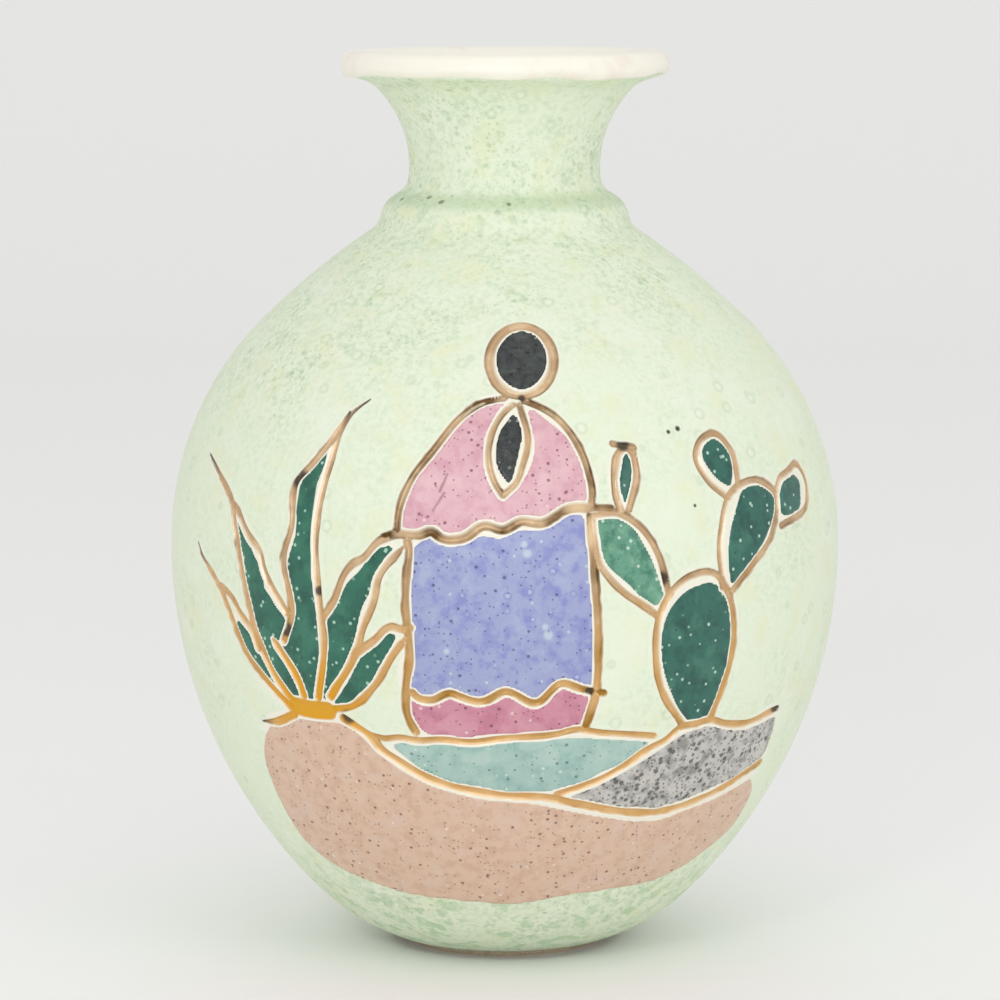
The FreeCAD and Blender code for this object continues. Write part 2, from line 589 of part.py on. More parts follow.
def head_ring_face():
    """The ring round the head, between two circles."""
    x, z = on_pot(HEAD_CENTRE)
    radius = HEAD_RADIUS * size("belly_radius") / STANDARD_RADIUS
    disks = []
    for way in (1, -1):
        circle = Part.makeCircle(radius + way * size("gold_width") / 2, FreeCAD.Vector(x, 0, z),
                                 FreeCAD.Vector(0, -1, 0))
        disks.append(flat_face([circle]))
    return disks[0].cut(disks[1])


def root_face():
    """The pool of gold where the agave's lines run together, an ellipse."""
    x, z = on_pot(ROOT_CENTRE)
    stretch = size("belly_radius") / STANDARD_RADIUS
    oval = Part.Ellipse(FreeCAD.Vector(x, 0, z), ROOT_HALF_WIDTH * stretch, ROOT_HALF_HEIGHT * stretch)
    edge = oval.toShape()
    edge.rotate(FreeCAD.Vector(x, 0, z), FreeCAD.Vector(1, 0, 0), 90)
    return flat_face([edge])


def gold_faces():
    """Each gold group's flat shapes, each less what the lines before it already cover."""
    groups = {}
    taken = None
    for label, lines in GOLD_LINES.items():
        shapes = [line_face(points) for points in lines]
        if label == "gold_head_ring":
            shapes.append(head_ring_face())
        if label == "gold_agave_lines":
            shapes.insert(0, root_face())
        groups[label] = []
        for shape in shapes:
            rest = shape.cut(taken) if taken else shape
            groups[label] += [face for face in rest.Faces if face.Area > SMALLEST_AREA]
            taken = taken.fuse(shape) if taken else shape
    return groups, taken


def laid_on(label, faces, layer):
    """A colour or a gold line: the part of the colour layer that lies behind its drawn faces."""
    pieces = []
    for number, face in enumerate(faces, start=1):
        name = "%s_%d" % (label, number)
        outline = DOCUMENT.addObject("Part::Feature", name + "_outline")
        outline.Shape = face
        prism = DOCUMENT.addObject("Part::Extrusion", name + "_prism")
        prism.Base = outline
        prism.DirMode = "Custom"
        prism.Dir = (0, -1, 0)
        prism.Solid = True
        prism.setExpression("LengthFwd", "sizes.belly_radius + sizes.glaze")
        piece = DOCUMENT.addObject("Part::Common", name + "_piece")
        piece.Base = layer
        piece.Tool = prism
        pieces.append(piece)
    group = DOCUMENT.addObject("Part::Compound", label)
    group.Links = pieces
    return group


# ---------------------------------------------------------------------------------------------
# The pieces
# ---------------------------------------------------------------------------------------------

def cut(label, base, tool):
    """What is left of base outside tool."""
    piece = DOCUMENT.addObject("Part::Cut", label)
    piece.Base = base
    piece.Tool = tool
    return piece


def joined(label, shapes):
    """Several objects run together into one."""
    piece = DOCUMENT.addObject("Part::MultiFuse", label)
    piece.Shapes = shapes
    return piece


LIP_BASE = "sizes.belly_top + sizes.lip_base_rise"
LIP_TOP = "sizes.belly_top + sizes.lip_base_rise + sizes.lip_height"
WALL_INSET = "sizes.glaze + sizes.clay_wall"

belly_glazed = belly_solid("belly_glazed", "0", "sizes.foot_height")
belly_clay = belly_solid("belly_clay", "sizes.glaze", "sizes.foot_height")
cavity_clay = belly_solid("cavity_clay", WALL_INSET, "sizes.foot_height + sizes.floor_wall")
cavity_glazed = belly_solid(
    "cavity_glazed", WALL_INSET + " + sizes.liner", "sizes.foot_height + sizes.floor_wall + sizes.liner")
neck_glazed = turned_body("neck_glazed", neck_section("0"))
neck_clay = turned_body("neck_clay", neck_section("sizes.glaze"))
throat_clay = turned_body("throat_clay", throat_section("sizes.liner", LIP_BASE))
throat_glazed = turned_body("throat_glazed", throat_section("0", LIP_TOP))
lip_roll = turned_body("lip_roll", lip_section)

nodes = [
    cut("belly_wall", belly_clay, cavity_clay),
    cut("neck_wall", neck_clay, throat_clay),
    cut("lip_band", lip_roll, throat_glazed),
    turned_body("foot_ring", foot_section),
    joined("white_liner", [
        cut("cavity_liner", cavity_clay, cavity_glazed),
        cut("throat_liner", throat_clay, throat_glazed)]),
]

nodes.append(joined("green_coat", [
    cut("belly_coat", belly_glazed, belly_clay),
    cut("neck_coat", neck_glazed, neck_clay)]))
belly_coloured = belly_solid("belly_coloured", "-sizes.colour", "sizes.foot_height")
colour_layer = cut("colour_layer", belly_coloured, belly_glazed)
scene, all_gold = gold_faces()
for label, sides in COLOURS.items():
    scene[label] = colour_face(sides).cut(all_gold).Faces
for label, faces in scene.items():
    nodes.append(laid_on(label, faces, colour_layer))

# ---------------------------------------------------------------------------------------------
# Recompute, check and write
# ---------------------------------------------------------------------------------------------

DOCUMENT.recompute()
for item in DOCUMENT.Objects:
    if "Invalid" in item.State or "Error" in item.State:
        raise RuntimeError("%s did not recompute: %s" % (item.Label, item.State))
os.makedirs("parts", exist_ok=True)
for label, faces in scene.items():
    drawn = sum(face.Area for face in faces) * size("colour")
    if DOCUMENT.getObject(label).Shape.Volume < drawn:
        raise RuntimeError("%s lost part of its drawn shape" % label)
for node in nodes:
    shape = node.Shape
    if shape.isNull() or not shape.isValid() or not shape.Solids:
        raise RuntimeError("%s has no sound solid" % node.Label)
    print("%-20s solids %2d  volume %10.1f mm3" % (node.Label, len(shape.Solids), shape.Volume))
    shape.exportStep(os.path.join("parts", node.Label + ".step"))
print("%d pieces written" % len(nodes))
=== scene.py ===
# %% [markdown]
# # A carved and lustred bottle vase
# The real vase is one fired pot: thrown clay, a matt pale green glaze, and a scene whose lines are
# carved into the clay and filled with gold lustre. Coloured glazes fill the fields between the lines.
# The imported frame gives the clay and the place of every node. This lesson gives each glazed node a
# surface of its own, worked out in millimetres with numpy, and a finish made from nodes.

# %% The frame and the units
import math

import bmesh
import bpy
import numpy as np
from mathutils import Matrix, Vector


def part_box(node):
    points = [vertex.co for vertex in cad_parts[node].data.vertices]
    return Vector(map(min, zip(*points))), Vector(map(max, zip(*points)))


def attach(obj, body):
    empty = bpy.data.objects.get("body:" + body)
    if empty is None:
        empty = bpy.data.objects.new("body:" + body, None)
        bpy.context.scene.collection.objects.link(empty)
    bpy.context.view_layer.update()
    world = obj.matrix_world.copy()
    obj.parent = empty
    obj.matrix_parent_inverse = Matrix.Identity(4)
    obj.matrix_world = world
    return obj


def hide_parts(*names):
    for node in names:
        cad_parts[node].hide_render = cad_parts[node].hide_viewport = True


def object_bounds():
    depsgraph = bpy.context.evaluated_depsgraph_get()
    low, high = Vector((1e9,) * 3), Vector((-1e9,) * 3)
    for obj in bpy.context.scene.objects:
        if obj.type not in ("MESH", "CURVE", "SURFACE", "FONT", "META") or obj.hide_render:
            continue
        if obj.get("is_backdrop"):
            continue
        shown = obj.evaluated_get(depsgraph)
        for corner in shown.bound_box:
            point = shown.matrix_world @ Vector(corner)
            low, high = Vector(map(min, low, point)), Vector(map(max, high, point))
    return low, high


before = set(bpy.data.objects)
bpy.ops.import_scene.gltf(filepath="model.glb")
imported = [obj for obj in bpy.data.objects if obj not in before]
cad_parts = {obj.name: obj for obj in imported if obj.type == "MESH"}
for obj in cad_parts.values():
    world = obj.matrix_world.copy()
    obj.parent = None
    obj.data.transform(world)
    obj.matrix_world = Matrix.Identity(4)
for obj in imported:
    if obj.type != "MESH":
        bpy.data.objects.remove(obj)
cad_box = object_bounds()
MM = 0.001      # the lesson counts in millimetres, and Blender in metres

seat_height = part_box("belly_wall")[1].z / MM
rim_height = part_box("lip_band")[1].z / MM
belly_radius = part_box("green_coat")[1].x / MM
print("belly radius %.1f mm, neck's seat at %.1f mm, rim at %.1f mm"
      % (belly_radius, seat_height, rim_height))

# %% [markdown]
# ## The pot's outline
# A thrown belly is a smooth curve, so four arcs that run into each other describe it: the turn at the
# foot, the long lower wall, the round shoulder and the slack line up to the neck. A free curve would
# do as well, but arcs give the radius and the slope at any height as a plain formula, and every piece
# of the scene has to lie on exactly this surface.

# %% Radius and slope of the belly at a height
FOOT_TOP = 2.0
ARC_TOP = np.array([13.363, 104.0, 162.626, seat_height])     # where each arc ends
ARC_CENTRE = np.array([12.594, -40.2, 4.3, -71.07])           # distance of its centre from the axis
ARC_LEVEL = np.array([49.33, 104.0, 104.0, 25.952])           # height of its centre
ARC_RADIUS = np.array([50.0, 126.0, 81.5, 190.0])


def belly(z):
    """Radius and slope: the arc's centre plus the root of (its radius squared less height squared)."""
    z = np.clip(z, FOOT_TOP, seat_height)
    arc = np.searchsorted(ARC_TOP[:-1], z)
    up = z - ARC_LEVEL[arc]
    out = np.sqrt(ARC_RADIUS[arc] ** 2 - up ** 2)
    return ARC_CENTRE[arc] + out, -up / out


COLLAR_CENTRE, COLLAR_ROUND = (25.0, seat_height + 1.0), 7.0
NECK_CENTRE, NECK_ARC = (53.3, seat_height + 14.0), 29.0
print("widest radius %.2f mm at %.0f mm" % (belly(104.0)[0], 104.0))

# %% Points on the belly, and the way out of it
def on_front(x, z):
    """The point of the belly's front that has this place across and this height."""
    radius = belly(z)[0]
    depth = np.sqrt(np.maximum(radius ** 2 - x ** 2, 1.0))
    return np.stack([x, -depth, z], axis=-1)


def onto_pot(points):
    """Points moved straight out from the axis onto the belly."""
    flat = np.hypot(points[..., 0], points[..., 1])
    share = belly(points[..., 2])[0] / flat
    return np.stack([points[..., 0] * share, points[..., 1] * share, points[..., 2]], axis=-1)


def outward(points):
    """The unit normal: out from the axis, tilted by the slope of the outline."""
    flat = np.hypot(points[..., 0], points[..., 1])
    tilt = -belly(points[..., 2])[1]
    normal = np.stack([points[..., 0] / flat, points[..., 1] / flat, tilt], axis=-1)
    return normal / np.linalg.norm(normal, axis=-1, keepdims=True)


print("front of the belly at its widest: %s" % on_front(0.0, 104.0).round(2))

# %% [markdown]
# ## Unevenness of hand work
# A wheel-thrown pot is never quite round, and a glaze never quite level. Adding up ten or so sine
# waves that run in random directions gives a smooth, endless unevenness that can be asked for at any
# point, so a piece and its neighbour always agree about it.

# %% Waves that any point can ask for
def waves(points, length, seed, count=10):
    """Sum of sines of the point's distance along random directions, scaled to about -1 to 1."""
    random = np.random.default_rng(seed)
    ways = random.normal(size=(count, points.shape[-1]))
    ways /= np.linalg.norm(ways, axis=1, keepdims=True)
    ways *= 2 * math.pi / (length * random.uniform(0.7, 1.4, (count, 1)))
    phases = random.uniform(0, 2 * math.pi, count)
    return np.sin(points @ ways.T + phases).sum(axis=-1) / math.sqrt(count)


SWELL = 0.12        # how far the thrown wall strays from its outline


def lifted(points, height):
    """Points of the belly raised along the normal, over the thrown wall's own unevenness."""
    swell = SWELL * (0.5 + 0.5 * waves(points, 60.0, seed=1))
    return points + outward(points) * (height + swell)[..., None]


print("the wall strays by up to %.2f mm" % SWELL)

# %% [markdown]
# ## The drawing
# The scene is held as it was carved: as lines, each a few points that a smooth curve runs through, and
# as fields of colour, each two sides that start and end together. Points are millimetres across from
# the axis and up from the table, as the pot is seen from the front. Each group of lines has its own
# width, and says how much of it the kiln burnt brown.

# %% The carved lines
# Each line is its points, after the length over which it fades in from a scratch at its first point.
GOLD_LINES = {
    "gold_head_ring": [],
    "gold_shawl_lines": [
        (0, [(0, 148.5), (-6.5, 147), (-9.5, 145), (-17.5, 136), (-22.5, 129.5), (-25.5, 122),
             (-26, 116.5)]),
        (0, [(4.5, 148), (11, 145), (16, 140), (20, 131.5), (21, 126), (20.5, 122.5)]),
    ],
    "gold_braid_lines": [
        (0, [(2, 147), (0, 145.5), (-4, 136.5), (-2.5, 129), (-0.5, 126)]),
        (0, [(3.5, 147), (5.5, 138), (4, 132.5), (3, 129.5), (-0.5, 126)]),
    ],
    "gold_waist_line": [
        (0, [(-29, 115.6), (-26, 116.5), (-20.5, 116.5), (-17.5, 117.5), (-15.5, 116), (-10, 116),
             (-5, 119), (-0.5, 118), (4, 120), (8.5, 119.5), (16, 123), (20.5, 122.8), (25.5, 122.4)]),
    ],
    "gold_skirt_lines": [
        (0, [(-23.5, 115), (-23, 113), (-23.5, 108.5), (-24, 100), (-23, 87), (-24, 78),
             (-23.5, 71.5), (-21.5, 67.5)]),
        (0, [(20.5, 121), (20.8, 115), (21.5, 107.5), (22.5, 88.5), (22, 78), (19.5, 69)]),
    ],
    "gold_hem_line": [
        (0, [(-22.5, 78), (-21, 76.5), (-18, 76), (-13, 78), (-10.5, 77), (-5.5, 76), (-3, 77),
             (-0.5, 78.5), (7.5, 75.5), (14, 80.5), (18, 79), (24, 77.5)]),
    ],
    "gold_cactus_lines": [
        (0, [(43.5, 67.5), (38, 77.5), (36.5, 87.5), (37.5, 96.5), (40.5, 102), (43.5, 104.5),
             (50.5, 105.5), (54.5, 100), (56, 92.5), (55, 81.5), (53.5, 76.5), (50.5, 68.5)]),
        (0, [(20.5, 121), (23, 109), (25.5, 105.5), (29, 102), (32.5, 99.5), (37, 96)]),
        (0, [(21, 121), (24, 121.5), (26.5, 121.5), (32.5, 118), (37, 111), (39, 104), (39.5, 101.5)]),
        (0, [(28, 121.5), (26.6, 126), (26.5, 132), (27.5, 135.5), (29.2, 136.5), (31, 135)]),
        (0, [(31, 135), (31.8, 130), (29.8, 122)]),
        (0, [(25.8, 137.6), (28.5, 137.0), (31.2, 136.4)]),
        (0, [(53, 101.5), (52.5, 115), (56, 125), (61.5, 126.5), (66, 123.5), (65.5, 112.5),
             (60.5, 106), (55.5, 100.5)]),
        (0, [(54.5, 123), (49, 128), (46.5, 134.5), (47.5, 137), (50.5, 138.5), (55, 134.5),
             (57, 126)]),
        (0, [(67, 123.5), (68, 126), (70, 127), (72.5, 128.5), (74, 126.5), (74.5, 117), (69.5, 115),
             (68, 114.5)]),
    ],
    "gold_agave_lines": [
        (11, [(-76.5, 109), (-75.5, 106), (-73, 102.5), (-71, 99.5), (-69, 95.5), (-63.5, 83),
              (-52.5, 71)]),
        (2, [(-71, 100), (-67, 96.5), (-65, 93), (-62.5, 90), (-60.5, 85)]),
        (15, [(-73.5, 130.5), (-70.5, 126), (-67.5, 121), (-66.5, 115), (-64, 100.5), (-63, 96),
              (-60.5, 87.5), (-54.5, 76), (-51.5, 72.5)]),
        (3, [(-66.5, 120.5), (-62.5, 112.5), (-60, 109.5), (-59, 105.5), (-53, 95)]),
        (2, [(-57, 88.5), (-50.5, 78.5), (-49, 74.5)]),
        (18, [(-32.5, 147.5), (-37, 144), (-39, 141), (-42.5, 131.5), (-45.5, 118.5), (-44.5, 94.5),
              (-44, 90), (-45.5, 74.5)]),
        (6, [(-37.5, 144.5), (-41, 139), (-47, 131.5), (-50.5, 127.5), (-52, 116), (-54, 109),
             (-52.5, 100), (-52, 95.5), (-54, 88)]),
        (0, [(-26.5, 116.5), (-31, 114), (-34, 110.5), (-37, 108.5), (-42, 98.5), (-44.5, 94.5)]),
        (4, [(-24, 114), (-30.5, 105.5), (-31.5, 100.5), (-34.5, 92.5), (-35.5, 88.5), (-42.5, 75)]),
        (0, [(-22.5, 94), (-25, 93.5), (-27.5, 94), (-31.5, 90.5), (-35.5, 87)]),
        (3, [(-23.5, 92), (-27, 87), (-31.5, 79), (-37.5, 73), (-41.5, 72)]),
        (0, [(-51, 71.6), (-47, 71.2), (-43, 71.4)]),
    ],
    "gold_mountain_line": [
        (0, [(12.5, 51.5), (17.5, 53), (22, 54.5), (31, 59.5), (34.5, 62), (39, 64), (43, 67),
             (47, 67.5), (50.5, 68), (54, 66.5), (58.5, 65.5), (68, 67.5)]),
    ],
    "gold_valley_line": [
        (6, [(-60, 66), (-56.5, 66.5), (-51.5, 69.5)]),
        (0, [(-39.5, 70), (-36, 68), (-32.5, 65.5), (-30, 62.5), (-27, 60.5), (-19.5, 56), (-1.5, 51.5),
             (11, 50.5), (16.5, 49), (29.5, 45.5), (36, 44.5), (50.5, 47), (64, 53)]),
    ],
    "gold_shore_line": [
        (0, [(-32.5, 66), (-29.5, 65.5), (-25.5, 66), (-21, 65.5), (-15.5, 66), (-8, 65.5), (-1, 66.5),
             (12.5, 67.5), (17.5, 68.5), (22.5, 67.5), (30, 66.5), (36.5, 65.5)]),
    ],
}

# Each group's half width and how much of it is burnt brown.
LINE_STYLE = {
    "gold_head_ring": (1.3, 0.45), "gold_shawl_lines": (1.0, 1.0), "gold_braid_lines": (0.85, 0.6),
    "gold_waist_line": (1.2, 1.0), "gold_skirt_lines": (1.1, 0.8), "gold_hem_line": (1.0, 1.0),
    "gold_cactus_lines": (1.0, 0.5), "gold_agave_lines": (1.0, 0.35), "gold_mountain_line": (1.0, 0.4),
    "gold_valley_line": (1.15, 0.15), "gold_shore_line": (0.9, 0.5),
}
HEAD_CENTRE = (4.0, 156.8)
HEAD_RADIUS = 7.8
ROOT = (-47.0, 71.3)        # where the agave's lines run together in a pool of gold
ROOT_HALF_WIDTH = 2.5

# Where the kiln burnt the lustre black: across, up, and how far it reaches.
BURNS = [(-49.8, 127.7, 3.2), (-53.6, 91.0, 2.6), (38.0, 105.0, 2.4), (-38.3, 70.2, 2.4), (68.0, 67.6, 2.6),
         (28.5, 137.4, 2.2), (20.5, 78.0, 1.6), (-45.2, 101.5, 1.6), (4.0, 148.6, 1.3)]

around = np.radians(np.arange(-90, 281, 10))
ring_points = np.stack([HEAD_CENTRE[0] + HEAD_RADIUS * np.cos(around),
                        HEAD_CENTRE[1] + HEAD_RADIUS * np.sin(around)], axis=-1)
GOLD_LINES["gold_head_ring"].append((0, ring_points))
print("%d carved lines in %d groups" % (sum(map(len, GOLD_LINES.values())), len(GOLD_LINES)))

# %% The fields of coloured glaze
# Each field is its two sides. The shawl's are its outer and its inner edge.
FIELDS = {
    "agave_leaf_1": (
        [(-65.5, 90), (-64, 87), (-62, 82.5), (-52.5, 71.5)],
        [(-65.5, 90), (-62.5, 87), (-56, 76.5), (-53.5, 73.5), (-52.5, 71.5)]),
    "agave_leaf_2": (
        [(-65.5, 116), (-65, 113), (-63.5, 108.5), (-62.5, 99.5), (-60.5, 92), (-59.5, 88),
         (-52, 75.5), (-51, 74.5)],
        [(-65.5, 116), (-64, 113.5), (-62, 107.5), (-60, 104.5), (-59.5, 100), (-58, 98), (-56, 95),
         (-54.5, 93.5), (-54.5, 90), (-57.5, 88), (-55.5, 84), (-53.5, 80.5), (-51, 76.5),
         (-51, 74.5)]),
    "agave_leaf_3": (
        [(-42.5, 135.5), (-48.5, 127), (-49.5, 123), (-50, 114.5), (-52, 106.5), (-51, 98.5),
         (-52.5, 90.5), (-53.5, 87), (-50.5, 79), (-48, 74.5)],
        [(-42.5, 135.5), (-43.5, 133.5), (-46, 128.5), (-47.5, 119), (-47, 106), (-47, 101.5),
         (-45, 89.5), (-46, 81), (-46.5, 76), (-48, 74.5)]),
    "agave_leaf_4": (
        [(-28, 112.5), (-30, 112), (-34.5, 106), (-37, 103.5), (-40, 97.5), (-42, 94.5), (-42, 88),
         (-43, 80), (-43.5, 75)],
        [(-28, 112.5), (-29.5, 110.5), (-31, 106.5), (-35, 100), (-38, 87), (-39.5, 83), (-43.5, 75)]),
    "agave_leaf_5": (
        [(-27.5, 91.5), (-29.5, 91), (-31, 88.5), (-35.5, 85), (-35.5, 83.5), (-38.5, 76.5),
         (-40.5, 73.5)],
        [(-27.5, 91.5), (-28.5, 89), (-36, 76.5), (-40.5, 73.5)]),
    "hair": (
        [(-2, 157), (-1, 160.3), (1.5, 162.6), (5, 163), (8.2, 161.2), (10.2, 157)],
        [(-2, 157), (-2, 154.5), (0.5, 151.4), (4, 150.3), (7.5, 151.5), (9.6, 154), (10.2, 157)]),
    "braid": (
        [(2, 144), (-0.5, 140.5), (-1, 132.5), (1, 129.5)],
        [(2, 144), (3.5, 143), (4.5, 142), (3, 138), (2.5, 135.5), (1, 129.5)]),
    "shawl": (
        [(-1, 147.5), (-5, 146.5), (-8.5, 143.5), (-19, 131.5), (-22.5, 125), (-23.5, 122),
         (-24, 118.5), (-18, 118), (-15.5, 117.5), (-11, 117.5), (-6, 120.5), (-0.5, 119.5),
         (4, 121), (8.5, 121), (13, 124), (16.5, 124), (19, 125.5), (16, 136.5), (6.5, 145)],
        [(-2, 145), (-5.5, 134.5), (-4, 128.5), (-2, 127), (-0.5, 125.5), (3.5, 127.5), (8, 137),
         (7.5, 140), (7, 143)]),
    "skirt": (
        [(-21.5, 112.5), (-17.5, 115), (-15.5, 113.5), (-13, 113), (-8, 114.5), (-6, 115.5), (-1, 115),
         (4, 117), (7, 117), (12.5, 118.5), (17, 121), (18.5, 119.5), (20, 101), (20.5, 79.5)],
        [(-21.5, 112.5), (-22, 106), (-22.5, 97.5), (-21.5, 92.5), (-22, 78.5), (-20, 77.5),
         (-18, 77.5), (-14, 79.5), (-11, 79), (-8.5, 78.5), (-6.5, 77.5), (-1, 80), (4, 79.5),
         (8, 77), (10, 79), (15, 82), (17, 81), (20.5, 79.5)]),
    "hem": (
        [(-22.5, 75), (-15, 74.5), (-13, 75.5), (-10.5, 75.5), (-3.5, 74.5), (0, 76.5), (2.5, 75.5),
         (9.5, 74.5), (13.5, 77.5), (15, 78.5), (19.5, 76), (20.5, 74)],
        [(-22.5, 75), (-22, 71.5), (-20, 69.5), (-15, 67), (-5, 68.5), (5.5, 68), (17.5, 70.5),
         (20.5, 74)]),
    "cactus_pad_1": (
        [(49.5, 102.5), (44.5, 101), (40.5, 97), (38.5, 91), (39, 83), (41.5, 75.5), (44, 69.5), (47, 68)],
        [(49.5, 102.5), (53, 100.5), (54.5, 95), (54, 84), (50.8, 73), (49.8, 69), (47, 68)]),
    "cactus_pad_2": (
        [(21.5, 119.5), (27, 120), (33.5, 112), (38, 100)],
        [(21.5, 119.5), (24, 111), (30.5, 104.5), (35.5, 99.5), (38, 100)]),
    "cactus_pad_3": (
        [(29, 135), (28, 133.5), (27.5, 127), (28.5, 124)],
        [(29, 135), (30, 132), (29.8, 128), (28.5, 124)]),
    "cactus_pad_4": (
        [(61.5, 125), (58.5, 124), (57.5, 121.5), (55, 110.5), (55.5, 103)],
        [(61.5, 125), (64.5, 124.3), (66, 121), (64.5, 115), (60.5, 108.5), (55.5, 103)]),
    "cactus_pad_5": (
        [(50.5, 136.8), (48.5, 134.5), (50.5, 130), (52.5, 127.8), (54.5, 126.5)],
        [(50.5, 136.8), (53, 135), (55, 131.5), (54.5, 126.5)]),
    "cactus_pad_6": (
        [(71, 126), (69, 124), (68, 121), (68.5, 118), (70.5, 117)],
        [(71, 126), (72.6, 124.5), (73, 121.5), (72.5, 118), (70.5, 117)]),
    "pond": (
        [(-26, 63.5), (-21, 64.5), (-8, 64), (15.5, 65.5), (34, 63.5)],
        [(-26, 63.5), (-19.5, 58.5), (-11.5, 55), (-6, 54.5), (-1, 53.5), (4.5, 53), (9, 53),
         (14.5, 54.5), (19, 55.5), (22.5, 57.5), (27.5, 59.5), (34, 63.5)]),
    "mountain": (
        [(16, 50), (26.5, 54.5), (39, 61.5), (42, 63.5), (50.5, 65.5), (54.5, 64), (59, 63),
         (67, 64.5)],
        [(16, 50), (25, 48), (31.5, 47), (37.5, 46.5), (43.5, 47.5), (52, 50), (56, 51), (60, 53),
         (63.5, 54.5), (66, 59.5), (67, 64.5)]),
    "ground": (
        [(-59, 62), (-57.5, 65), (-46, 68.3), (-38, 67.5), (-34.5, 65), (-32, 62.5), (-28, 59),
         (-20, 54.3), (-8, 50.5), (6.5, 48.8), (23, 44.5), (34, 42), (39.5, 42), (44.5, 43.5),
         (49.5, 44.5), (61.5, 48.5)],
        [(-59, 62), (-59.5, 58.5), (-56.5, 45.5), (-53.5, 39), (-49.5, 33), (-40, 26.5), (-34, 24.5),
         (-27, 22.5), (-11, 21), (4, 20.5), (15.5, 22.5), (23.5, 23), (39.5, 24.5), (50.5, 30),
         (58, 36), (60.5, 40.5), (62, 45.5), (61.5, 48.5)]),
}
print("%d fields of glaze" % len(FIELDS))

# %% [markdown]
# ## Smooth curves through points
# A carver's line has no corners. Between two points the curve is a cubic, and at each point it takes
# the mean of the two directions that meet there, the shorter side counting more. That keeps to the
# points without swinging out between them. The curve is then measured on the round pot, and read off
# at even steps of real length.

# %% A curve on the pot
def smooth_curve(points, spacing=0.1):
    """Cubic pieces through the points, with weighted mean directions, at close spacing."""
    points = np.array(points, float)
    chord = np.linalg.norm(np.diff(points, axis=0), axis=1)
    way = np.diff(points, axis=0) / chord[:, None]
    shared = way[:-1] * chord[1:, None] + way[1:] * chord[:-1, None]
    shared /= (chord[1:] + chord[:-1])[:, None]
    way = np.vstack([way[:1], shared, way[-1:]])
    knots = np.concatenate([[0.0], np.cumsum(chord)])
    place = np.linspace(0, knots[-1], int(knots[-1] / spacing) + 2)
    piece = np.clip(np.searchsorted(knots, place, side="right") - 1, 0, len(chord) - 1)
    span = chord[piece][:, None]
    t = (place - knots[piece])[:, None] / span
    return ((1 + 2 * t) * (1 - t) ** 2 * points[piece] + t * (1 - t) ** 2 * span * way[piece]
            + t ** 2 * (3 - 2 * t) * points[piece + 1] + t ** 2 * (t - 1) * span * way[piece + 1])


def even_on_pot(flat, step, count=None):
    """The drawn curve laid on the pot's front and read off at even steps, or in this many points."""
    solid = on_front(flat[:, 0], flat[:, 1])
    length = np.concatenate([[0.0], np.cumsum(np.linalg.norm(np.diff(solid, axis=0), axis=1))])
    count = count or max(int(length[-1] / step) + 1, 3)
    marks = np.linspace(0, length[-1], count)
    across = np.interp(marks, length, flat[:, 0])
    up = np.interp(marks, length, flat[:, 1])
    return on_front(across, up), marks


def blurred(values, reach):
    """Each value averaged with its neighbours on both sides, the ends held."""
    padded = np.concatenate([np.repeat(values[:1], reach, axis=0), values,
                             np.repeat(values[-1:], reach, axis=0)])
    total = np.cumsum(np.concatenate([np.zeros_like(padded[:1]), padded]), axis=0)
    return (total[2 * reach + 1:] - total[:-2 * reach - 1]) / (2 * reach + 1)


print("a straight line of 10 mm gets %d points" % len(smooth_curve([(0, 0), (10, 0)])))

# %% Every carved line, measured
LINE_STEP = 0.38
UNSTEADY = 0.07          # how much of its width a hand-cut line gains and loses
THINNEST = 0.28          # of its width, what is left of a line where it fades into a scratch


def carve(group, number, tail, points):
    """One line's middle on the pot, its half width along it, how brown it is burnt, and its tail's black,
    which is painted shade.
    """
    half_width, brown = LINE_STYLE[group]
    middle, marks = even_on_pot(smooth_curve(points), LINE_STEP)
    middle = onto_pot(blurred(middle, 2))
    seed = 100 * list(GOLD_LINES).index(group) + number
    unsteady = 1 + UNSTEADY * waves(marks[:, None], 11.0, seed, 6)
    fading = np.clip(marks / tail, 0, 1) if tail else np.ones_like(marks)
    root = 1 if group == "gold_agave_lines" and number == len(GOLD_LINES[group]) - 1 else 0
    half = ROOT_HALF_WIDTH if root else half_width * unsteady * (THINNEST + (1 - THINNEST) * fading)
    half = half * np.ones_like(marks)
    burnt = brown * (0.72 + 0.35 * waves(marks[:, None], 16.0, seed + 50, 6))
    # Painted shade: the first part of a long tail is painted black, for the shade in the deep start of the
    # cut.
    black = 1 - np.clip(marks / (0.8 * tail), 0, 1) if tail > 4 else np.zeros_like(marks)
    return {"group": group, "middle": middle, "half": half, "burnt": np.clip(burnt, 0, 1), "black": black}


LINES = [carve(group, number, tail, points) for group, members in GOLD_LINES.items()
         for number, (tail, points) in enumerate(members)]
total_length = sum(LINE_STEP * (len(line["middle"]) - 1) for line in LINES)
print("carved length %.2f m" % (total_length * MM))

# %% [markdown]
# ## One relief for the whole scene
# Where two carved lines cross, the tool has cut through both, and neither lies on the other. So no
# line has a height of its own. Instead every surface asks one function how far it is from the edge of
# the nearest groove, and takes its height and its colour from that distance alone. Lines then run
# together at their junctions as real grooves do.

# %% Distance to a curve
def distance_to(points, curve):
    """Distance from each point to a chain of short straight pieces, and the nearest piece's number."""
    square = (points ** 2).sum(1)[:, None] + (curve ** 2).sum(1)[None, :] - 2 * points @ curve.T
    near = np.argmin(square, axis=1)
    best = np.full(len(points), np.inf)
    for side in (-1, 0):
        start = np.clip(near + side, 0, len(curve) - 2)
        chord = curve[start + 1] - curve[start]
        along = ((points - curve[start]) * chord).sum(1) / (chord ** 2).sum(1)
        foot = curve[start] + np.clip(along, 0, 1)[:, None] * chord
        best = np.minimum(best, np.linalg.norm(points - foot, axis=1))
    return best, near


def near_box(points, curve, margin):
    """Which points lie in the curve's box grown by a margin."""
    inside = (points > curve.min(0) - margin) & (points < curve.max(0) + margin)
    return inside.all(axis=1)


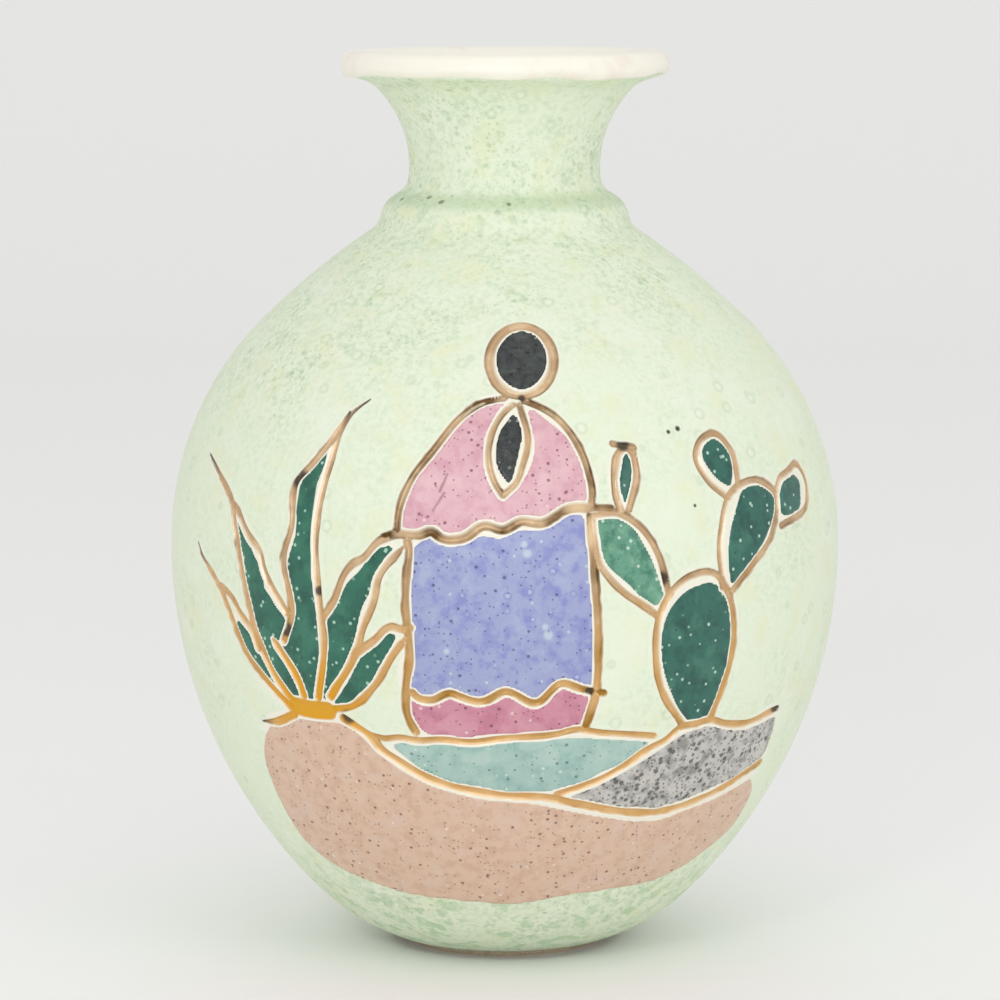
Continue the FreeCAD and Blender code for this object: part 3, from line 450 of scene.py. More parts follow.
print("from (0, 3, 0) to a line along x: %.1f" % distance_to(
    np.array([[0.0, 3.0, 0.0]]), np.array([[-5.0, 0.0, 0.0], [5.0, 0.0, 0.0]]))[0][0])

# %% The fields' outlines, and the distance to the nearest field
OUTLINE_STEP = 0.4


def outline_of(name):
    """A field's border as one closed chain of points on the pot."""
    first, second = [smooth_curve(side) for side in FIELDS[name]]
    loop = np.vstack([first, second[::-1], first[:1]])
    points = even_on_pot(loop, OUTLINE_STEP)[0]
    return points


OUTLINES = {name: outline_of(name) for name in FIELDS}


def inside_outline(points, outline):
    """Whether points lie within a closed chain, by counting the sides that a level ray crosses."""
    x, z = points[:, 0][:, None], points[:, 2][:, None]
    x1, z1 = outline[:-1, 0][None, :], outline[:-1, 2][None, :]
    x2, z2 = outline[1:, 0][None, :], outline[1:, 2][None, :]
    crosses = (z1 > z) != (z2 > z)
    rise = np.where(z2 == z1, 1.0, z2 - z1)
    at = x1 + (z - z1) * (x2 - x1) / rise
    return (crosses & (x < at)).sum(axis=1) % 2 == 1


def field_gap(points, reach=5.0):
    """Distance to the nearest field of colour, negative within it, and the reach far away."""
    gap = np.full(len(points), reach)
    for outline in OUTLINES.values():
        close = np.nonzero(near_box(points, outline, reach))[0]
        if len(close):
            distance = distance_to(points[close], outline)[0]
            within = inside_outline(points[close], outline)
            gap[close] = np.minimum(gap[close], np.where(within, -distance, distance))
    return gap


for line in LINES:
    line["gap"] = field_gap(line["middle"])
print("%d points along the outlines" % sum(map(len, OUTLINES.values())))

# %% The relief and its colours at any point
RELIEF_REACH = 6.0
GROOVE_DEPTH = 0.58
USUAL_HALF_WIDTH = 0.9
SHALLOWEST, DEEPEST = 0.35, 1.15     # narrow lines are cut shallower, wide ones deeper
BURR_HEIGHT = 0.12
JUNCTION = 0.5          # how far apart two grooves start to run together


def smooth_step(value, low, high):
    """Rises from 0 at low to 1 at high, level at both ends."""
    t = np.clip((value - low) / (high - low), 0, 1)
    return t * t * (3 - 2 * t)


def relief(points):
    """What the nearest groove does at each point: its edge's distance, width, burning and so on."""
    count = len(points)
    edge = np.full(count, RELIEF_REACH)
    nearest = np.full(count, RELIEF_REACH)
    half, burnt, black, outer_side = np.ones(count), np.zeros(count), np.zeros(count), np.zeros(count)
    gap = field_gap(points)
    for line in LINES:
        close = np.nonzero(near_box(points, line["middle"], RELIEF_REACH))[0]
        if not len(close):
            continue
        distance, near = distance_to(points[close], line["middle"])
        its_edge = distance - line["half"][near]
        overlap = np.maximum(JUNCTION - np.abs(edge[close] - its_edge), 0) / JUNCTION
        edge[close] = np.minimum(edge[close], its_edge) - overlap ** 2 * JUNCTION / 4
        wins = its_edge < nearest[close]
        chosen, source = close[wins], near[wins]
        nearest[chosen] = its_edge[wins]
        half[chosen] = line["half"][source]
        burnt[chosen] = line["burnt"][source]
        black[chosen] = line["black"][source]
        outer_side[chosen] = (gap[chosen] - line["gap"][source]) / line["half"][source]
    return {"edge": edge, "half": half, "burnt": burnt, "black": black, "outer": outer_side,
            "gap": gap}


def groove_height(found):
    """A round-bottomed channel with a burr along its edges, level with the pot further out."""
    within = np.clip(1 + found["edge"] / found["half"], 0, 1)
    depth = GROOVE_DEPTH * np.clip(found["half"] / USUAL_HALF_WIDTH, SHALLOWEST, DEEPEST)
    channel = -depth * (1 - within ** 2.6)
    burr = BURR_HEIGHT * np.exp(-((found["edge"] - 0.3) / 0.42) ** 2)
    return channel + burr


def colour_shares(points, found):
    """How much gold, cream, brown, brightness, black and ochre a point has, each from 0 to 1."""
    ragged = 0.05 * waves(points, 3.0, seed=7)
    gold = 1 - smooth_step(found["edge"] + ragged, -0.18, 0.08)
    by_field = 1 - smooth_step(found["gap"], 2.3, 3.1)
    by_line = 1 - smooth_step(found["edge"], 2.0, 3.0)
    rim = 1 - smooth_step(found["edge"] + ragged, 0.25, 0.75)
    cream = np.maximum(by_field * by_line, 0.5 * rim)
    # Painted shade: the outer wall of each groove is painted browner, and the next step paints a dark brown
    # edge along every line's outer side.
    wall = smooth_step(found["outer"], 0.1, 0.75)
    brown = np.clip(found["burnt"] * (0.35 + 0.5 * found["burnt"] + 0.6 * wall), 0, 1)
    brown = np.maximum(brown, 0.75 * smooth_step(found["outer"], 0.45, 0.9))
    # Painted highlight: the inner wall of each groove is painted pale.
    bright = smooth_step(-found["outer"], 0.3, 0.95)
    root = on_front(np.array(ROOT[0]), np.array(ROOT[1]))
    ochre = 1 - smooth_step(np.linalg.norm(points - root, axis=1), 6.0, 30.0)
    ochre = np.maximum(ochre, 0.4 * smooth_step(points[:, 2], 112.0, 80.0))
    # Black is painted shade at the start of a long tail, and the kiln's burn at the listed places.
    black = found["black"]
    for x, z, size in BURNS:
        away = np.linalg.norm(points - on_front(np.array(x), np.array(z)), axis=1)
        black = np.maximum(black, 0.9 * (1 - smooth_step(away, 0.5 * size, size)))
    return {"gold": gold, "cream": cream, "brown": brown, "bright": bright, "black": black, "ochre": ochre}


print("deepest groove %.2f mm" % (GROOVE_DEPTH * DEEPEST))

# %% [markdown]
# ## Turning arrays into meshes
# All pieces here are grids: rows and columns of points. A slab is a grid for its upper side, a second
# one under it and walls round the edge, which makes it closed. A turned piece is a closed section
# carried round the axis. The volume's sign tells whether the faces look outwards.

# %% Meshes from grids
def grid_faces(rows, columns, start=0):
    """The four corners of each cell of a grid whose points are numbered row by row."""
    corner = start + np.arange(rows - 1)[:, None] * columns + np.arange(columns - 1)[None, :]
    return np.stack([corner, corner + 1, corner + columns + 1, corner + columns], axis=-1).reshape(-1, 4)


def facing_out(points, faces):
    """The same faces, turned over if the volume they enclose comes out negative."""
    a, b, c, d = [points[faces[:, k]] for k in range(4)]
    volume = (a * np.cross(b, c)).sum() + (a * np.cross(c, d)).sum()
    return faces if volume > 0 else faces[:, ::-1]


def make_piece(name, parts, material, nodes, shares=None):
    """One object from one or more closed grids, in metres, riding on the part's only body."""
    points, faces, start = [], [], 0
    for part_points, part_faces in parts:
        points.append(part_points)
        faces.append(facing_out(part_points, part_faces) + start)
        start += len(part_points)
    points, faces = np.vstack(points), np.vstack(faces)
    mesh = bpy.data.meshes.new(name)
    mesh.vertices.add(len(points))
    mesh.vertices.foreach_set("co", (points * MM).astype(np.float32).ravel())
    mesh.loops.add(faces.size)
    mesh.loops.foreach_set("vertex_index", faces.astype(np.int32).ravel())
    mesh.polygons.add(len(faces))
    mesh.polygons.foreach_set("loop_start", np.arange(0, faces.size, 4, dtype=np.int32))
    mesh.polygons.foreach_set("use_smooth", np.ones(len(faces), dtype=bool))
    for key, values in (shares or {}).items():
        layer = mesh.attributes.new(key, "FLOAT", "POINT")
        layer.data.foreach_set("value", values.astype(np.float32))
    mesh.update(calc_edges=True)
    mesh.materials.append(material)
    piece = bpy.data.objects.new(name, mesh)
    bpy.context.scene.collection.objects.link(piece)
    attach(piece, "root")
    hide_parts(*nodes)
    return piece


print("a grid of 3 by 4 points has %d cells" % len(grid_faces(3, 4)))

# %% A slab from an upper and a lower grid
def slab(upper, lower):
    """Upper grid, lower grid turned over, and a wall of cells along each of the four edges."""
    rows, columns = upper.shape[:2]
    count = rows * columns
    top = grid_faces(rows, columns)
    bottom = grid_faces(rows, columns, count)[:, ::-1]
    number = np.arange(count).reshape(rows, columns)
    border = np.concatenate([number[0, :], number[1:, -1], number[-1, -2::-1], number[-2:0:-1, 0]])
    after = np.roll(border, -1)
    wall = np.stack([after, border, border + count, after + count], axis=-1)
    points = np.vstack([upper.reshape(-1, 3), lower.reshape(-1, 3)])
    return points, np.vstack([top, bottom, wall])


flat_grid = np.zeros((3, 4, 3))
print("its slab has %d faces" % len(slab(flat_grid, flat_grid)[1]))

# %% A turned piece from a closed section
def turned(section, angles):
    """Each point (radius, height) of a closed section carried to each angle from the front."""
    radius, height = section[:, 0][:, None], section[:, 1][:, None]
    points = np.stack([radius * np.sin(angles), -radius * np.cos(angles),
                       height + 0 * angles], axis=-1)
    rows, columns = points.shape[:2]
    number = np.arange(rows * columns).reshape(rows, columns)
    below, beside = np.roll(number, -1, axis=0), np.roll(number, -1, axis=1)
    across = np.roll(below, -1, axis=1)
    faces = np.stack([number, beside, across, below], axis=-1).reshape(-1, 4)
    return points, faces


square = np.array([[1.0, 0.0], [2.0, 0.0], [2.0, 1.0], [1.0, 1.0]])
print("a square turned in 8 steps has %d faces" % len(turned(square, np.arange(8) * math.pi / 4)[1]))

# %% [markdown]
# ## Finishes made from nodes
# A fired glaze is never one colour. It mottles, pits where bubbles burst, and leaves pale rings where
# they nearly did. Each finish below reads the Object coordinates, turned into millimetres, so that a
# pit is as large as a real pit and the pattern runs on from one piece to the next.

# %% Helpers for node trees
def paint(red, green, blue):
    """A colour read as 0 to 255 on a screen, as the linear values that a shader takes."""
    share = np.array([red, green, blue]) / 255
    linear = np.where(share <= 0.04045, share / 12.92, ((share + 0.055) / 1.055) ** 2.4)
    return (*linear.tolist(), 1.0)


def add_node(tree, kind, **settings):
    """A new shader node with these properties set."""
    node = tree.nodes.new("ShaderNode" + kind)
    for key, setting in settings.items():
        setattr(node, key, setting)
    return node


def feed(tree, source, socket):
    """Link a socket to another, or set its value."""
    if isinstance(source, bpy.types.NodeSocket):
        tree.links.new(source, socket)
    else:
        socket.default_value = source


def calc(tree, operation, first, second=0.0):
    """One sum, product or the like of two numbers."""
    node = add_node(tree, "Math", operation=operation)
    feed(tree, first, node.inputs[0])
    feed(tree, second, node.inputs[1])
    return node.outputs[0]


def times(tree, first, second):
    """The product of two numbers."""
    return calc(tree, "MULTIPLY", first, second)


def plus(tree, first, second):
    """The sum of two numbers."""
    return calc(tree, "ADD", first, second)


def less(tree, first, second):
    """The first number less the second."""
    return calc(tree, "SUBTRACT", first, second)


def larger(tree, first, second):
    """The larger of two numbers."""
    return calc(tree, "MAXIMUM", first, second)


def mixed(tree, share, first, second):
    """From the first colour to the second as the share goes from 0 to 1."""
    node = add_node(tree, "Mix", data_type="RGBA")
    feed(tree, share, node.inputs["Factor"])
    feed(tree, first, node.inputs[6])
    feed(tree, second, node.inputs[7])
    return node.outputs[2]


def tinted(tree, colour, tint, share, strength):
    """The colour with this strength of a tint wherever the share is 1."""
    return mixed(tree, times(tree, share, strength), colour, tint)


def eased(tree, number, low, high):
    """0 below low and 1 above high, smooth between; with low above high it falls instead."""
    node = add_node(tree, "MapRange", interpolation_type="SMOOTHSTEP")
    feed(tree, number, node.inputs["Value"])
    down = low > high
    node.inputs["From Min"].default_value = min(low, high)
    node.inputs["From Max"].default_value = max(low, high)
    node.inputs["To Min"].default_value = 1.0 if down else 0.0
    node.inputs["To Max"].default_value = 0.0 if down else 1.0
    return node.outputs["Result"]


print("mid grey is %.3f to a shader" % paint(128, 128, 128)[0])

# %% Patterns at their real size
def millimetres(tree):
    """The point's place on the object, in millimetres."""
    place = add_node(tree, "TexCoord").outputs["Object"]
    node = add_node(tree, "VectorMath", operation="SCALE")
    tree.links.new(place, node.inputs[0])
    node.inputs["Scale"].default_value = 1 / MM
    return node.outputs[0]


def moved(tree, place, seed):
    """The same place far away, so that two patterns of one kind don't repeat each other."""
    node = add_node(tree, "VectorMath", operation="ADD")
    tree.links.new(place, node.inputs[0])
    node.inputs[1].default_value = (37.0 * seed, 19.0 * seed, 53.0 * seed)
    return node.outputs[0]


def cloudy(tree, place, size, seed, detail=3.0, roughness=0.55):
    """Soft noise about this many millimetres across, round 0.5."""
    node = add_node(tree, "TexNoise")
    tree.links.new(moved(tree, place, seed), node.inputs["Vector"])
    node.inputs["Scale"].default_value = 1 / size
    node.inputs["Detail"].default_value = detail
    node.inputs["Roughness"].default_value = roughness
    return node.outputs[0]


def cells(tree, place, spacing, seed):
    """Distance in millimetres to the nearest of many scattered points, and a chance for each point."""
    node = add_node(tree, "TexVoronoi")
    tree.links.new(moved(tree, place, seed), node.inputs["Vector"])
    node.inputs["Scale"].default_value = 1 / spacing
    split = add_node(tree, "SeparateColor")
    tree.links.new(node.outputs["Color"], split.inputs[0])
    return times(tree, node.outputs["Distance"], spacing), split.outputs[0]


def spots(tree, place, spacing, radius, share, seed):
    """Round spots of up to this radius, at this share of the scattered points."""
    distance, chance = cells(tree, place, spacing, seed)
    here = eased(tree, chance, share + 0.03, share - 0.03)
    return times(tree, eased(tree, distance, radius, 0.55 * radius), here)


def rings(tree, place, spacing, radius, width, share, seed):
    """Thin circles of up to this radius, at this share of the scattered points."""
    distance, chance = cells(tree, place, spacing, seed)
    here = eased(tree, chance, share + 0.03, share - 0.03)
    away = calc(tree, "ABSOLUTE", less(tree, distance, radius))
    return times(tree, eased(tree, away, width, 0.2 * width), here)


def own(tree, name):
    """A number that the mesh carries at each point."""
    return add_node(tree, "Attribute", attribute_name=name).outputs["Fac"]


print("a pattern's numbers are millimetres: a place is scaled by %d" % (1 / MM))

# %% A finish to fill in
def start_finish(name):
    """An empty material with its output and its shader."""
    material = bpy.data.materials.new(name)
    material.use_nodes = True
    tree = material.node_tree
    tree.nodes.clear()
    output = add_node(tree, "OutputMaterial")
    shader = add_node(tree, "BsdfPrincipled")
    tree.links.new(shader.outputs[0], output.inputs["Surface"])
    return material, tree, shader


def raise_surface(tree, shader, height, depth):
    """Let a height from 0 to 1 stand for this many millimetres of relief."""
    bump = add_node(tree, "Bump")
    bump.inputs["Strength"].default_value = 1.0
    bump.inputs["Distance"].default_value = depth * MM
    tree.links.new(height, bump.inputs["Height"])
    tree.links.new(bump.outputs[0], shader.inputs["Normal"])


print("%d materials so far" % len(bpy.data.materials))

# %% [markdown]
# ## The pale green glaze
# The coat is a thin matt celadon that crawled and boiled in the kiln: fine mottling everywhere, darker
# green specks that crowd together on the neck, the shoulder and near the foot, creamy yellow clouds,
# and pale rings from burst bubbles. The same function paints the coat and the strips along the carved
# lines, so no join shows between them.

# %% The coat's colour and relief
GREEN = paint(232, 241, 217)
GREEN_DEEP = paint(206, 223, 191)
GREEN_SPECK = paint(172, 198, 156)
GREEN_YELLOW = paint(232, 236, 198)
GREEN_PALE = paint(238, 244, 226)
GREEN_BLOTCH = paint(172, 206, 162)
GREEN_CREASE = paint(108, 122, 92)
FLECK = paint(60, 62, 50)
CREAM = paint(245, 241, 225)        # the clear glaze that shows beside the carved lines
# Marks with a place of their own: across, up and radius.
FLECKS = [(39.6, 139.6, 0.5), (41.9, 140.2, 0.7), (46.0, 122.0, 0.35), (52.5, 117.0, 0.35)]
BUBBLES = [(-37.6, 124.6, 1.3), (-13.0, 196.5, 0.8), (-9.0, 203.0, 0.9), (24.5, 184.0, 0.8),
           (30.5, 182.0, 0.6)]


def at_places(tree, place, spots_here):
    """Round marks at given places: across, up and radius."""
    most = 0.0
    for x, z, size in spots_here:
        radius = belly(z)[0] if z < seat_height else NECK_CENTRE[0] - NECK_ARC
        node = add_node(tree, "VectorMath", operation="DISTANCE")
        tree.links.new(place, node.inputs[0])
        node.inputs[1].default_value = (x, -math.sqrt(radius ** 2 - x ** 2), z)
        most = larger(tree, most, eased(tree, node.outputs["Value"], size + 0.3, 0.5 * size))
    return most


def green_glaze(tree, place):
    """Returns the colour and a height from 0 to 1."""
    split = add_node(tree, "SeparateXYZ")
    tree.links.new(place, split.inputs[0])
    level = split.outputs["Z"]
    high = eased(tree, level, 135.0, 190.0)
    low = eased(tree, level, 38.0, 12.0)
    left = eased(tree, split.outputs["X"], -5.0, -70.0)
    left = times(tree, left, eased(tree, level, 110.0, 160.0))
    crowd = plus(tree, times(tree, high, 0.30), times(tree, low, 0.35))
    crowd = plus(tree, crowd, times(tree, left, 0.2))
    crowd = plus(tree, crowd, cloudy(tree, place, 22.0, 1, 2.0))
    fine = cloudy(tree, place, 1.5, 2, 4.0, 0.65)
    soft = cloudy(tree, place, 4.0, 7, 3.0, 0.6)
    grain = times(tree, eased(tree, fine, 0.4, 0.72), eased(tree, crowd, 0.2, 0.95))
    colour = mixed(tree, grain, GREEN, GREEN_DEEP)
    yellow = times(tree, eased(tree, cloudy(tree, place, 9.0, 3), 0.5, 0.7), 0.55)
    colour = mixed(tree, yellow, colour, GREEN_YELLOW)
    pale = times(tree, eased(tree, cloudy(tree, place, 14.0, 4), 0.5, 0.68), 0.5)
    colour = mixed(tree, pale, colour, GREEN_PALE)
    stain = times(tree, eased(tree, soft, 0.52, 0.72), eased(tree, crowd, 0.5, 1.1))
    colour = tinted(tree, colour, GREEN_SPECK, stain, 0.6)
    speck = spots(tree, place, 2.4, 0.75, 0.5, 5)
    small = spots(tree, place, 1.25, 0.42, 0.5, 6)
    specks = larger(tree, speck, times(tree, small, 0.8))
    amount = times(tree, specks, eased(tree, crowd, 0.5, 1.05))
    colour = tinted(tree, colour, GREEN_SPECK, amount, 0.62)
    blotch = times(tree, eased(tree, cloudy(tree, place, 4.5, 8), 0.52, 0.62), low)
    colour = tinted(tree, colour, GREEN_BLOTCH, blotch, 0.6)
    ring = rings(tree, place, 7.0, 1.35, 0.6, 0.45, 9)
    colour = tinted(tree, colour, GREEN_SPECK, ring, 0.24)
    bubble = times(tree, spots(tree, place, 7.0, 0.9, 0.45, 9), 0.6)
    bubble = larger(tree, bubble, at_places(tree, place, BUBBLES))
    colour = tinted(tree, colour, GREEN_PALE, bubble, 0.8)
    above = eased(tree, level, seat_height + 3.6, seat_height + 6.0)
    crease = times(tree, above, eased(tree, level, seat_height + 9.5, seat_height + 7.0))
    pitted = times(tree, crease, spots(tree, place, 3.4, 1.0, 0.34, 10))
    colour = tinted(tree, colour, GREEN_SPECK, crease, 0.35)
    colour = tinted(tree, colour, GREEN_CREASE, pitted, 0.8)
    colour = mixed(tree, at_places(tree, place, FLECKS), colour, FLECK)
    height = less(tree, fine, times(tree, amount, 0.7))
    height = less(tree, height, pitted)
    height = plus(tree, height, times(tree, bubble, 0.6))
    return colour, height


def make_green_coat():
    """The coat itself, with the cream that shows beside the carved lines."""
    material, tree, shader = start_finish("celadon_coat")
    place = millimetres(tree)
    colour, height = green_glaze(tree, place)
    colour = mixed(tree, own(tree, "cream"), colour, CREAM)
    feed(tree, colour, shader.inputs["Base Color"])
    rough = less(tree, 0.55, times(tree, own(tree, "cream"), 0.35))
    feed(tree, rough, shader.inputs["Roughness"])
    raise_surface(tree, shader, height, 0.16)
    return material


print("%d flecks and %d bubbles have places of their own" % (len(FLECKS), len(BUBBLES)))

# %% [markdown]
# ## Gold lustre in a groove
# Lustre is a film of metal a few thousandths of a millimetre thick, painted into the carved line and
# fired on. Where it lies thick it turns to mustard, and where the kiln caught it, to brown. Painted
# shade darkens the groove's outer wall to brown and blackens the start of a line that fades in, and a
# painted highlight pales its inner wall. The strip that carries a line also carries the clear cream
# glaze along its burr and the first of the coat beyond, so one finish holds all three and the mesh
# says how much of each a point has.

# %% The lines' finish
GOLD = paint(212, 176, 134)
GOLD_BRIGHT = paint(230, 200, 160)
# The brown of the kiln's burn, also used as painted shade on the grooves' outer walls.
GOLD_BURN_AND_SHADE_BROWN = paint(100, 72, 40)
# A painted highlight for the grooves' inner walls.
GOLD_PAINTED_HIGHLIGHT = paint(252, 238, 212)
GOLD_OCHRE = paint(224, 162, 10)
# The black of the kiln's burns, also painted shade at the lines' tails.
BURN_AND_SHADE_BLACK = paint(52, 44, 40)


def make_gold_lines():
    """Green, cream and gold by the point's own shares; the gold is metal, mottled and burnt, with painted
    shade on its outer wall and tails and a painted highlight on its inner wall.
    """
    material, tree, shader = start_finish("carved_gold_line")
    place = millimetres(tree)
    green, height = green_glaze(tree, place)
    colour = mixed(tree, own(tree, "cream"), green, CREAM)
    gold = mixed(tree, eased(tree, cloudy(tree, place, 5.0, 21), 0.4, 0.66), GOLD, GOLD_BRIGHT)
    stain = eased(tree, cloudy(tree, place, 7.0, 22, 3.0, 0.5), 0.66, 0.36)
    patchy = plus(tree, 0.55, times(tree, stain, 0.6))
    brown = times(tree, own(tree, "brown"), patchy)
    # Brown: the kiln's burn, with painted shade along the outer wall.
    gold = mixed(tree, brown, gold, GOLD_BURN_AND_SHADE_BROWN)
    # Painted highlight along the inner wall.
    gold = mixed(tree, times(tree, own(tree, "bright"), 0.9), gold, GOLD_PAINTED_HIGHLIGHT)
    gold = mixed(tree, own(tree, "ochre"), gold, GOLD_OCHRE)
    # Black: painted shade at the tails, and the kiln's burns.
    gold = mixed(tree, own(tree, "black"), gold, BURN_AND_SHADE_BLACK)
    share = own(tree, "gold")
    feed(tree, mixed(tree, share, colour, gold), shader.inputs["Base Color"])
    metal = plus(tree, 0.35, times(tree, brown, 0.5))
    dulled = less(tree, 1.0, times(tree, own(tree, "ochre"), 0.8))
    metal = times(tree, metal, dulled)
    feed(tree, times(tree, share, metal), shader.inputs["Metallic"])
    shine = plus(tree, 0.2, times(tree, cloudy(tree, place, 4.0, 23), 0.25))
    glazed = less(tree, 0.55, times(tree, own(tree, "cream"), 0.4))
    rough = add_node(tree, "Mix")
    feed(tree, share, rough.inputs[0])
    feed(tree, glazed, rough.inputs[2])
    feed(tree, shine, rough.inputs[3])
    feed(tree, rough.outputs[0], shader.inputs["Roughness"])
    calm = less(tree, 1.0, times(tree, own(tree, "cream"), 0.6))
    calm = times(tree, height, calm)
    raise_surface(tree, shader, calm, 0.16)
    return material


print("the lustre's darkest brown is %.3f, its sheen %.3f" % (GOLD_BURN_AND_SHADE_BROWN[0], GOLD_PAINTED_HIGHLIGHT[0]))

# %% [markdown]
# ## Coloured glazes
# The fields are the same kind of glaze in different colours, so one function makes them all from a
# short list: the colour, the deeper colour of its blotches, the paler one of its clouds, its specks and
# its pits, and how glossy it is. The agave and cactus greens are thick and wet-looking with tiny white
# specks; the hill is heavily pitted; the skirt is blotched with rings.

# %% One function for every coloured glaze
GLAZES = {
    "agave_green": dict(base=(44, 108, 88), deep=(31, 88, 72), pale=(60, 126, 102),
                        speck=(176, 216, 196), pit=(24, 60, 50), size=5.0, specks=0.6, pits=0.1,
                        ring=0.0, rough=0.16, depth=0.06),
    "cactus_green": dict(base=(46, 104, 90), deep=(34, 84, 74), pale=(66, 126, 106),
                         speck=(196, 224, 208), pit=(30, 62, 56), size=4.0, specks=0.6, pits=0.1,
                         ring=0.1, rough=0.16, depth=0.08),
    "sage_green": dict(base=(104, 160, 132), deep=(66, 124, 104), pale=(144, 190, 162),
                       speck=(204, 226, 206), pit=(60, 104, 90), size=3.4, specks=0.6, pits=0.1,
                       ring=0.2, rough=0.18, depth=0.08),
    "soft_black": dict(base=(50, 56, 55), deep=(28, 32, 32), pale=(74, 80, 77),
                       speck=(150, 148, 140), pit=(8, 10, 10), size=2.0, specks=0.14, pits=0.4,
                       ring=0.1, rough=0.16, depth=0.2),
    "shawl_pink": dict(base=(226, 180, 188), deep=(214, 160, 174), pale=(233, 194, 197),
                       speck=(240, 214, 208), pit=(140, 82, 98), size=4.0, specks=0.12, pits=0.36,
                       ring=0.15, rough=0.34, depth=0.16,
                       cuts=[(-13.8, 130.8, -15.6, 126.9), (-14.6, 126.4, -17.2, 122.4)]),
    "hem_pink": dict(base=(208, 142, 160), deep=(196, 124, 146), pale=(216, 158, 170),
                     speck=(236, 204, 202), pit=(130, 70, 90), size=4.0, specks=0.12, pits=0.36,
                     ring=0.15, rough=0.34, depth=0.16),
    "periwinkle": dict(base=(161, 168, 207), deep=(138, 144, 200), pale=(172, 183, 212),
                       speck=(196, 208, 222), pit=(84, 84, 130), size=3.4, specks=0.14, pits=0.34,
                       ring=0.5, rough=0.34, depth=0.14,
                       drips=[(4.6, 114.6, 0.9), (5.3, 112.4, 1.2), (9.6, 94.6, 0.9), (10.4, 92.6, 1.3),
                              (-14.0, 88.5, 0.8)]),
    "pond_teal": dict(base=(168, 198, 188), deep=(148, 184, 176), pale=(184, 208, 198),
                      speck=(208, 226, 216), pit=(92, 124, 116), size=4.0, specks=0.12, pits=0.4,
                      ring=0.2, rough=0.34, depth=0.12),
    "slate_grey": dict(base=(199, 197, 191), deep=(146, 144, 140), pale=(206, 202, 194),
                       speck=(214, 208, 200), pit=(76, 74, 72), size=3.4, specks=0.16, pits=1.0,
                       ring=0.1, rough=0.3, depth=0.24),
    "rose_earth": dict(base=(222, 190, 166), deep=(212, 176, 152), pale=(222, 196, 178),
                       speck=(236, 220, 202), pit=(132, 92, 80), size=3.0, specks=0.08, pits=0.36,
                       ring=0.08, rough=0.42, depth=0.14),
}


def make_glaze(name, base, deep, pale, speck, pit, size, specks, pits, ring, rough, depth, cuts=(),
               drips=()):
    """Blotches and clouds of this size, then rings, pale specks and dark pits on top."""
    material, tree, shader = start_finish(name)
    place = millimetres(tree)
    seed = 40 + list(GLAZES).index(name)
    blotch = eased(tree, cloudy(tree, place, size, seed, 4.0, 0.6), 0.42, 0.66)
    colour = mixed(tree, blotch, paint(*base), paint(*deep))
    cloud = eased(tree, cloudy(tree, place, 1.6 * size, seed + 20, 3.0), 0.48, 0.68)
    colour = tinted(tree, colour, paint(*pale), cloud, 0.7)
    grain = cloudy(tree, place, 0.7, seed + 40, 3.0, 0.7)
    colour = mixed(tree, times(tree, eased(tree, grain, 0.5, 0.75), 0.35), colour, paint(*deep))
    halo = rings(tree, place, 5.5, 0.9, 0.35, ring, seed + 60)
    colour = tinted(tree, colour, paint(*deep), halo, 0.6)
    heart = spots(tree, place, 5.5, 0.6, ring, seed + 60)
    bright = spots(tree, place, 2.2, 0.55, specks, seed + 80)
    bright = larger(tree, bright, times(tree, heart, 0.7))
    if drips:
        bright = larger(tree, bright, at_places(tree, place, drips))
    colour = tinted(tree, colour, paint(*speck), bright, 0.85)
    large = spots(tree, place, 2.1, 0.34 + 0.42 * pits, pits, seed + 100)
    small = spots(tree, place, 1.1, 0.24 + 0.1 * pits, pits, seed + 120)
    hollow = larger(tree, large, times(tree, small, 0.8))
    for x1, z1, x2, z2 in cuts:
        dots = [(x1 + t * (x2 - x1), z1 + t * (z2 - z1), 0.3) for t in np.linspace(0, 1, 10).tolist()]
        hollow = larger(tree, hollow, at_places(tree, place, dots))
    colour = tinted(tree, colour, paint(*pit), hollow, 0.8)
    feed(tree, colour, shader.inputs["Base Color"])
    feed(tree, plus(tree, rough, times(tree, hollow, 0.3)), shader.inputs["Roughness"])
    height = plus(tree, times(tree, grain, 0.5), times(tree, bright, 0.3))
    height = less(tree, height, hollow)
    raise_surface(tree, shader, height, depth)
    return material


print("%d glazes: %s" % (len(GLAZES), ", ".join(GLAZES)))

# %% White glaze and bare clay
WHITE = paint(250, 246, 232)
WHITE_THIN = paint(240, 228, 214)
CLAY = paint(206, 192, 166)
CLAY_DARK = paint(176, 156, 128)


def make_white_glaze():
    """Thick white, a little rosy where it thins over the clay."""
    material, tree, shader = start_finish("white_gloss")
    place = millimetres(tree)
    thin = eased(tree, cloudy(tree, place, 12.0, 31, 3.0), 0.52, 0.72)
    colour = mixed(tree, times(tree, thin, 0.6), WHITE, WHITE_THIN)
    feed(tree, colour, shader.inputs["Base Color"])
    shader.inputs["Roughness"].default_value = 0.28
    raise_surface(tree, shader, cloudy(tree, place, 2.5, 32, 2.0), 0.1)
    return material


def make_clay():
    """Bare fired clay, with darker grog in it."""
    material, tree, shader = start_finish("bare_clay")
    place = millimetres(tree)
    grain = cloudy(tree, place, 0.8, 33, 5.0, 0.7)
    colour = mixed(tree, eased(tree, grain, 0.4, 0.7), CLAY, CLAY_DARK)
    colour = mixed(tree, spots(tree, place, 1.8, 0.4, 0.4, 34), colour, CLAY_DARK)
    feed(tree, colour, shader.inputs["Base Color"])
    shader.inputs["Roughness"].default_value = 0.85
    raise_surface(tree, shader, grain, 0.15)
    return material


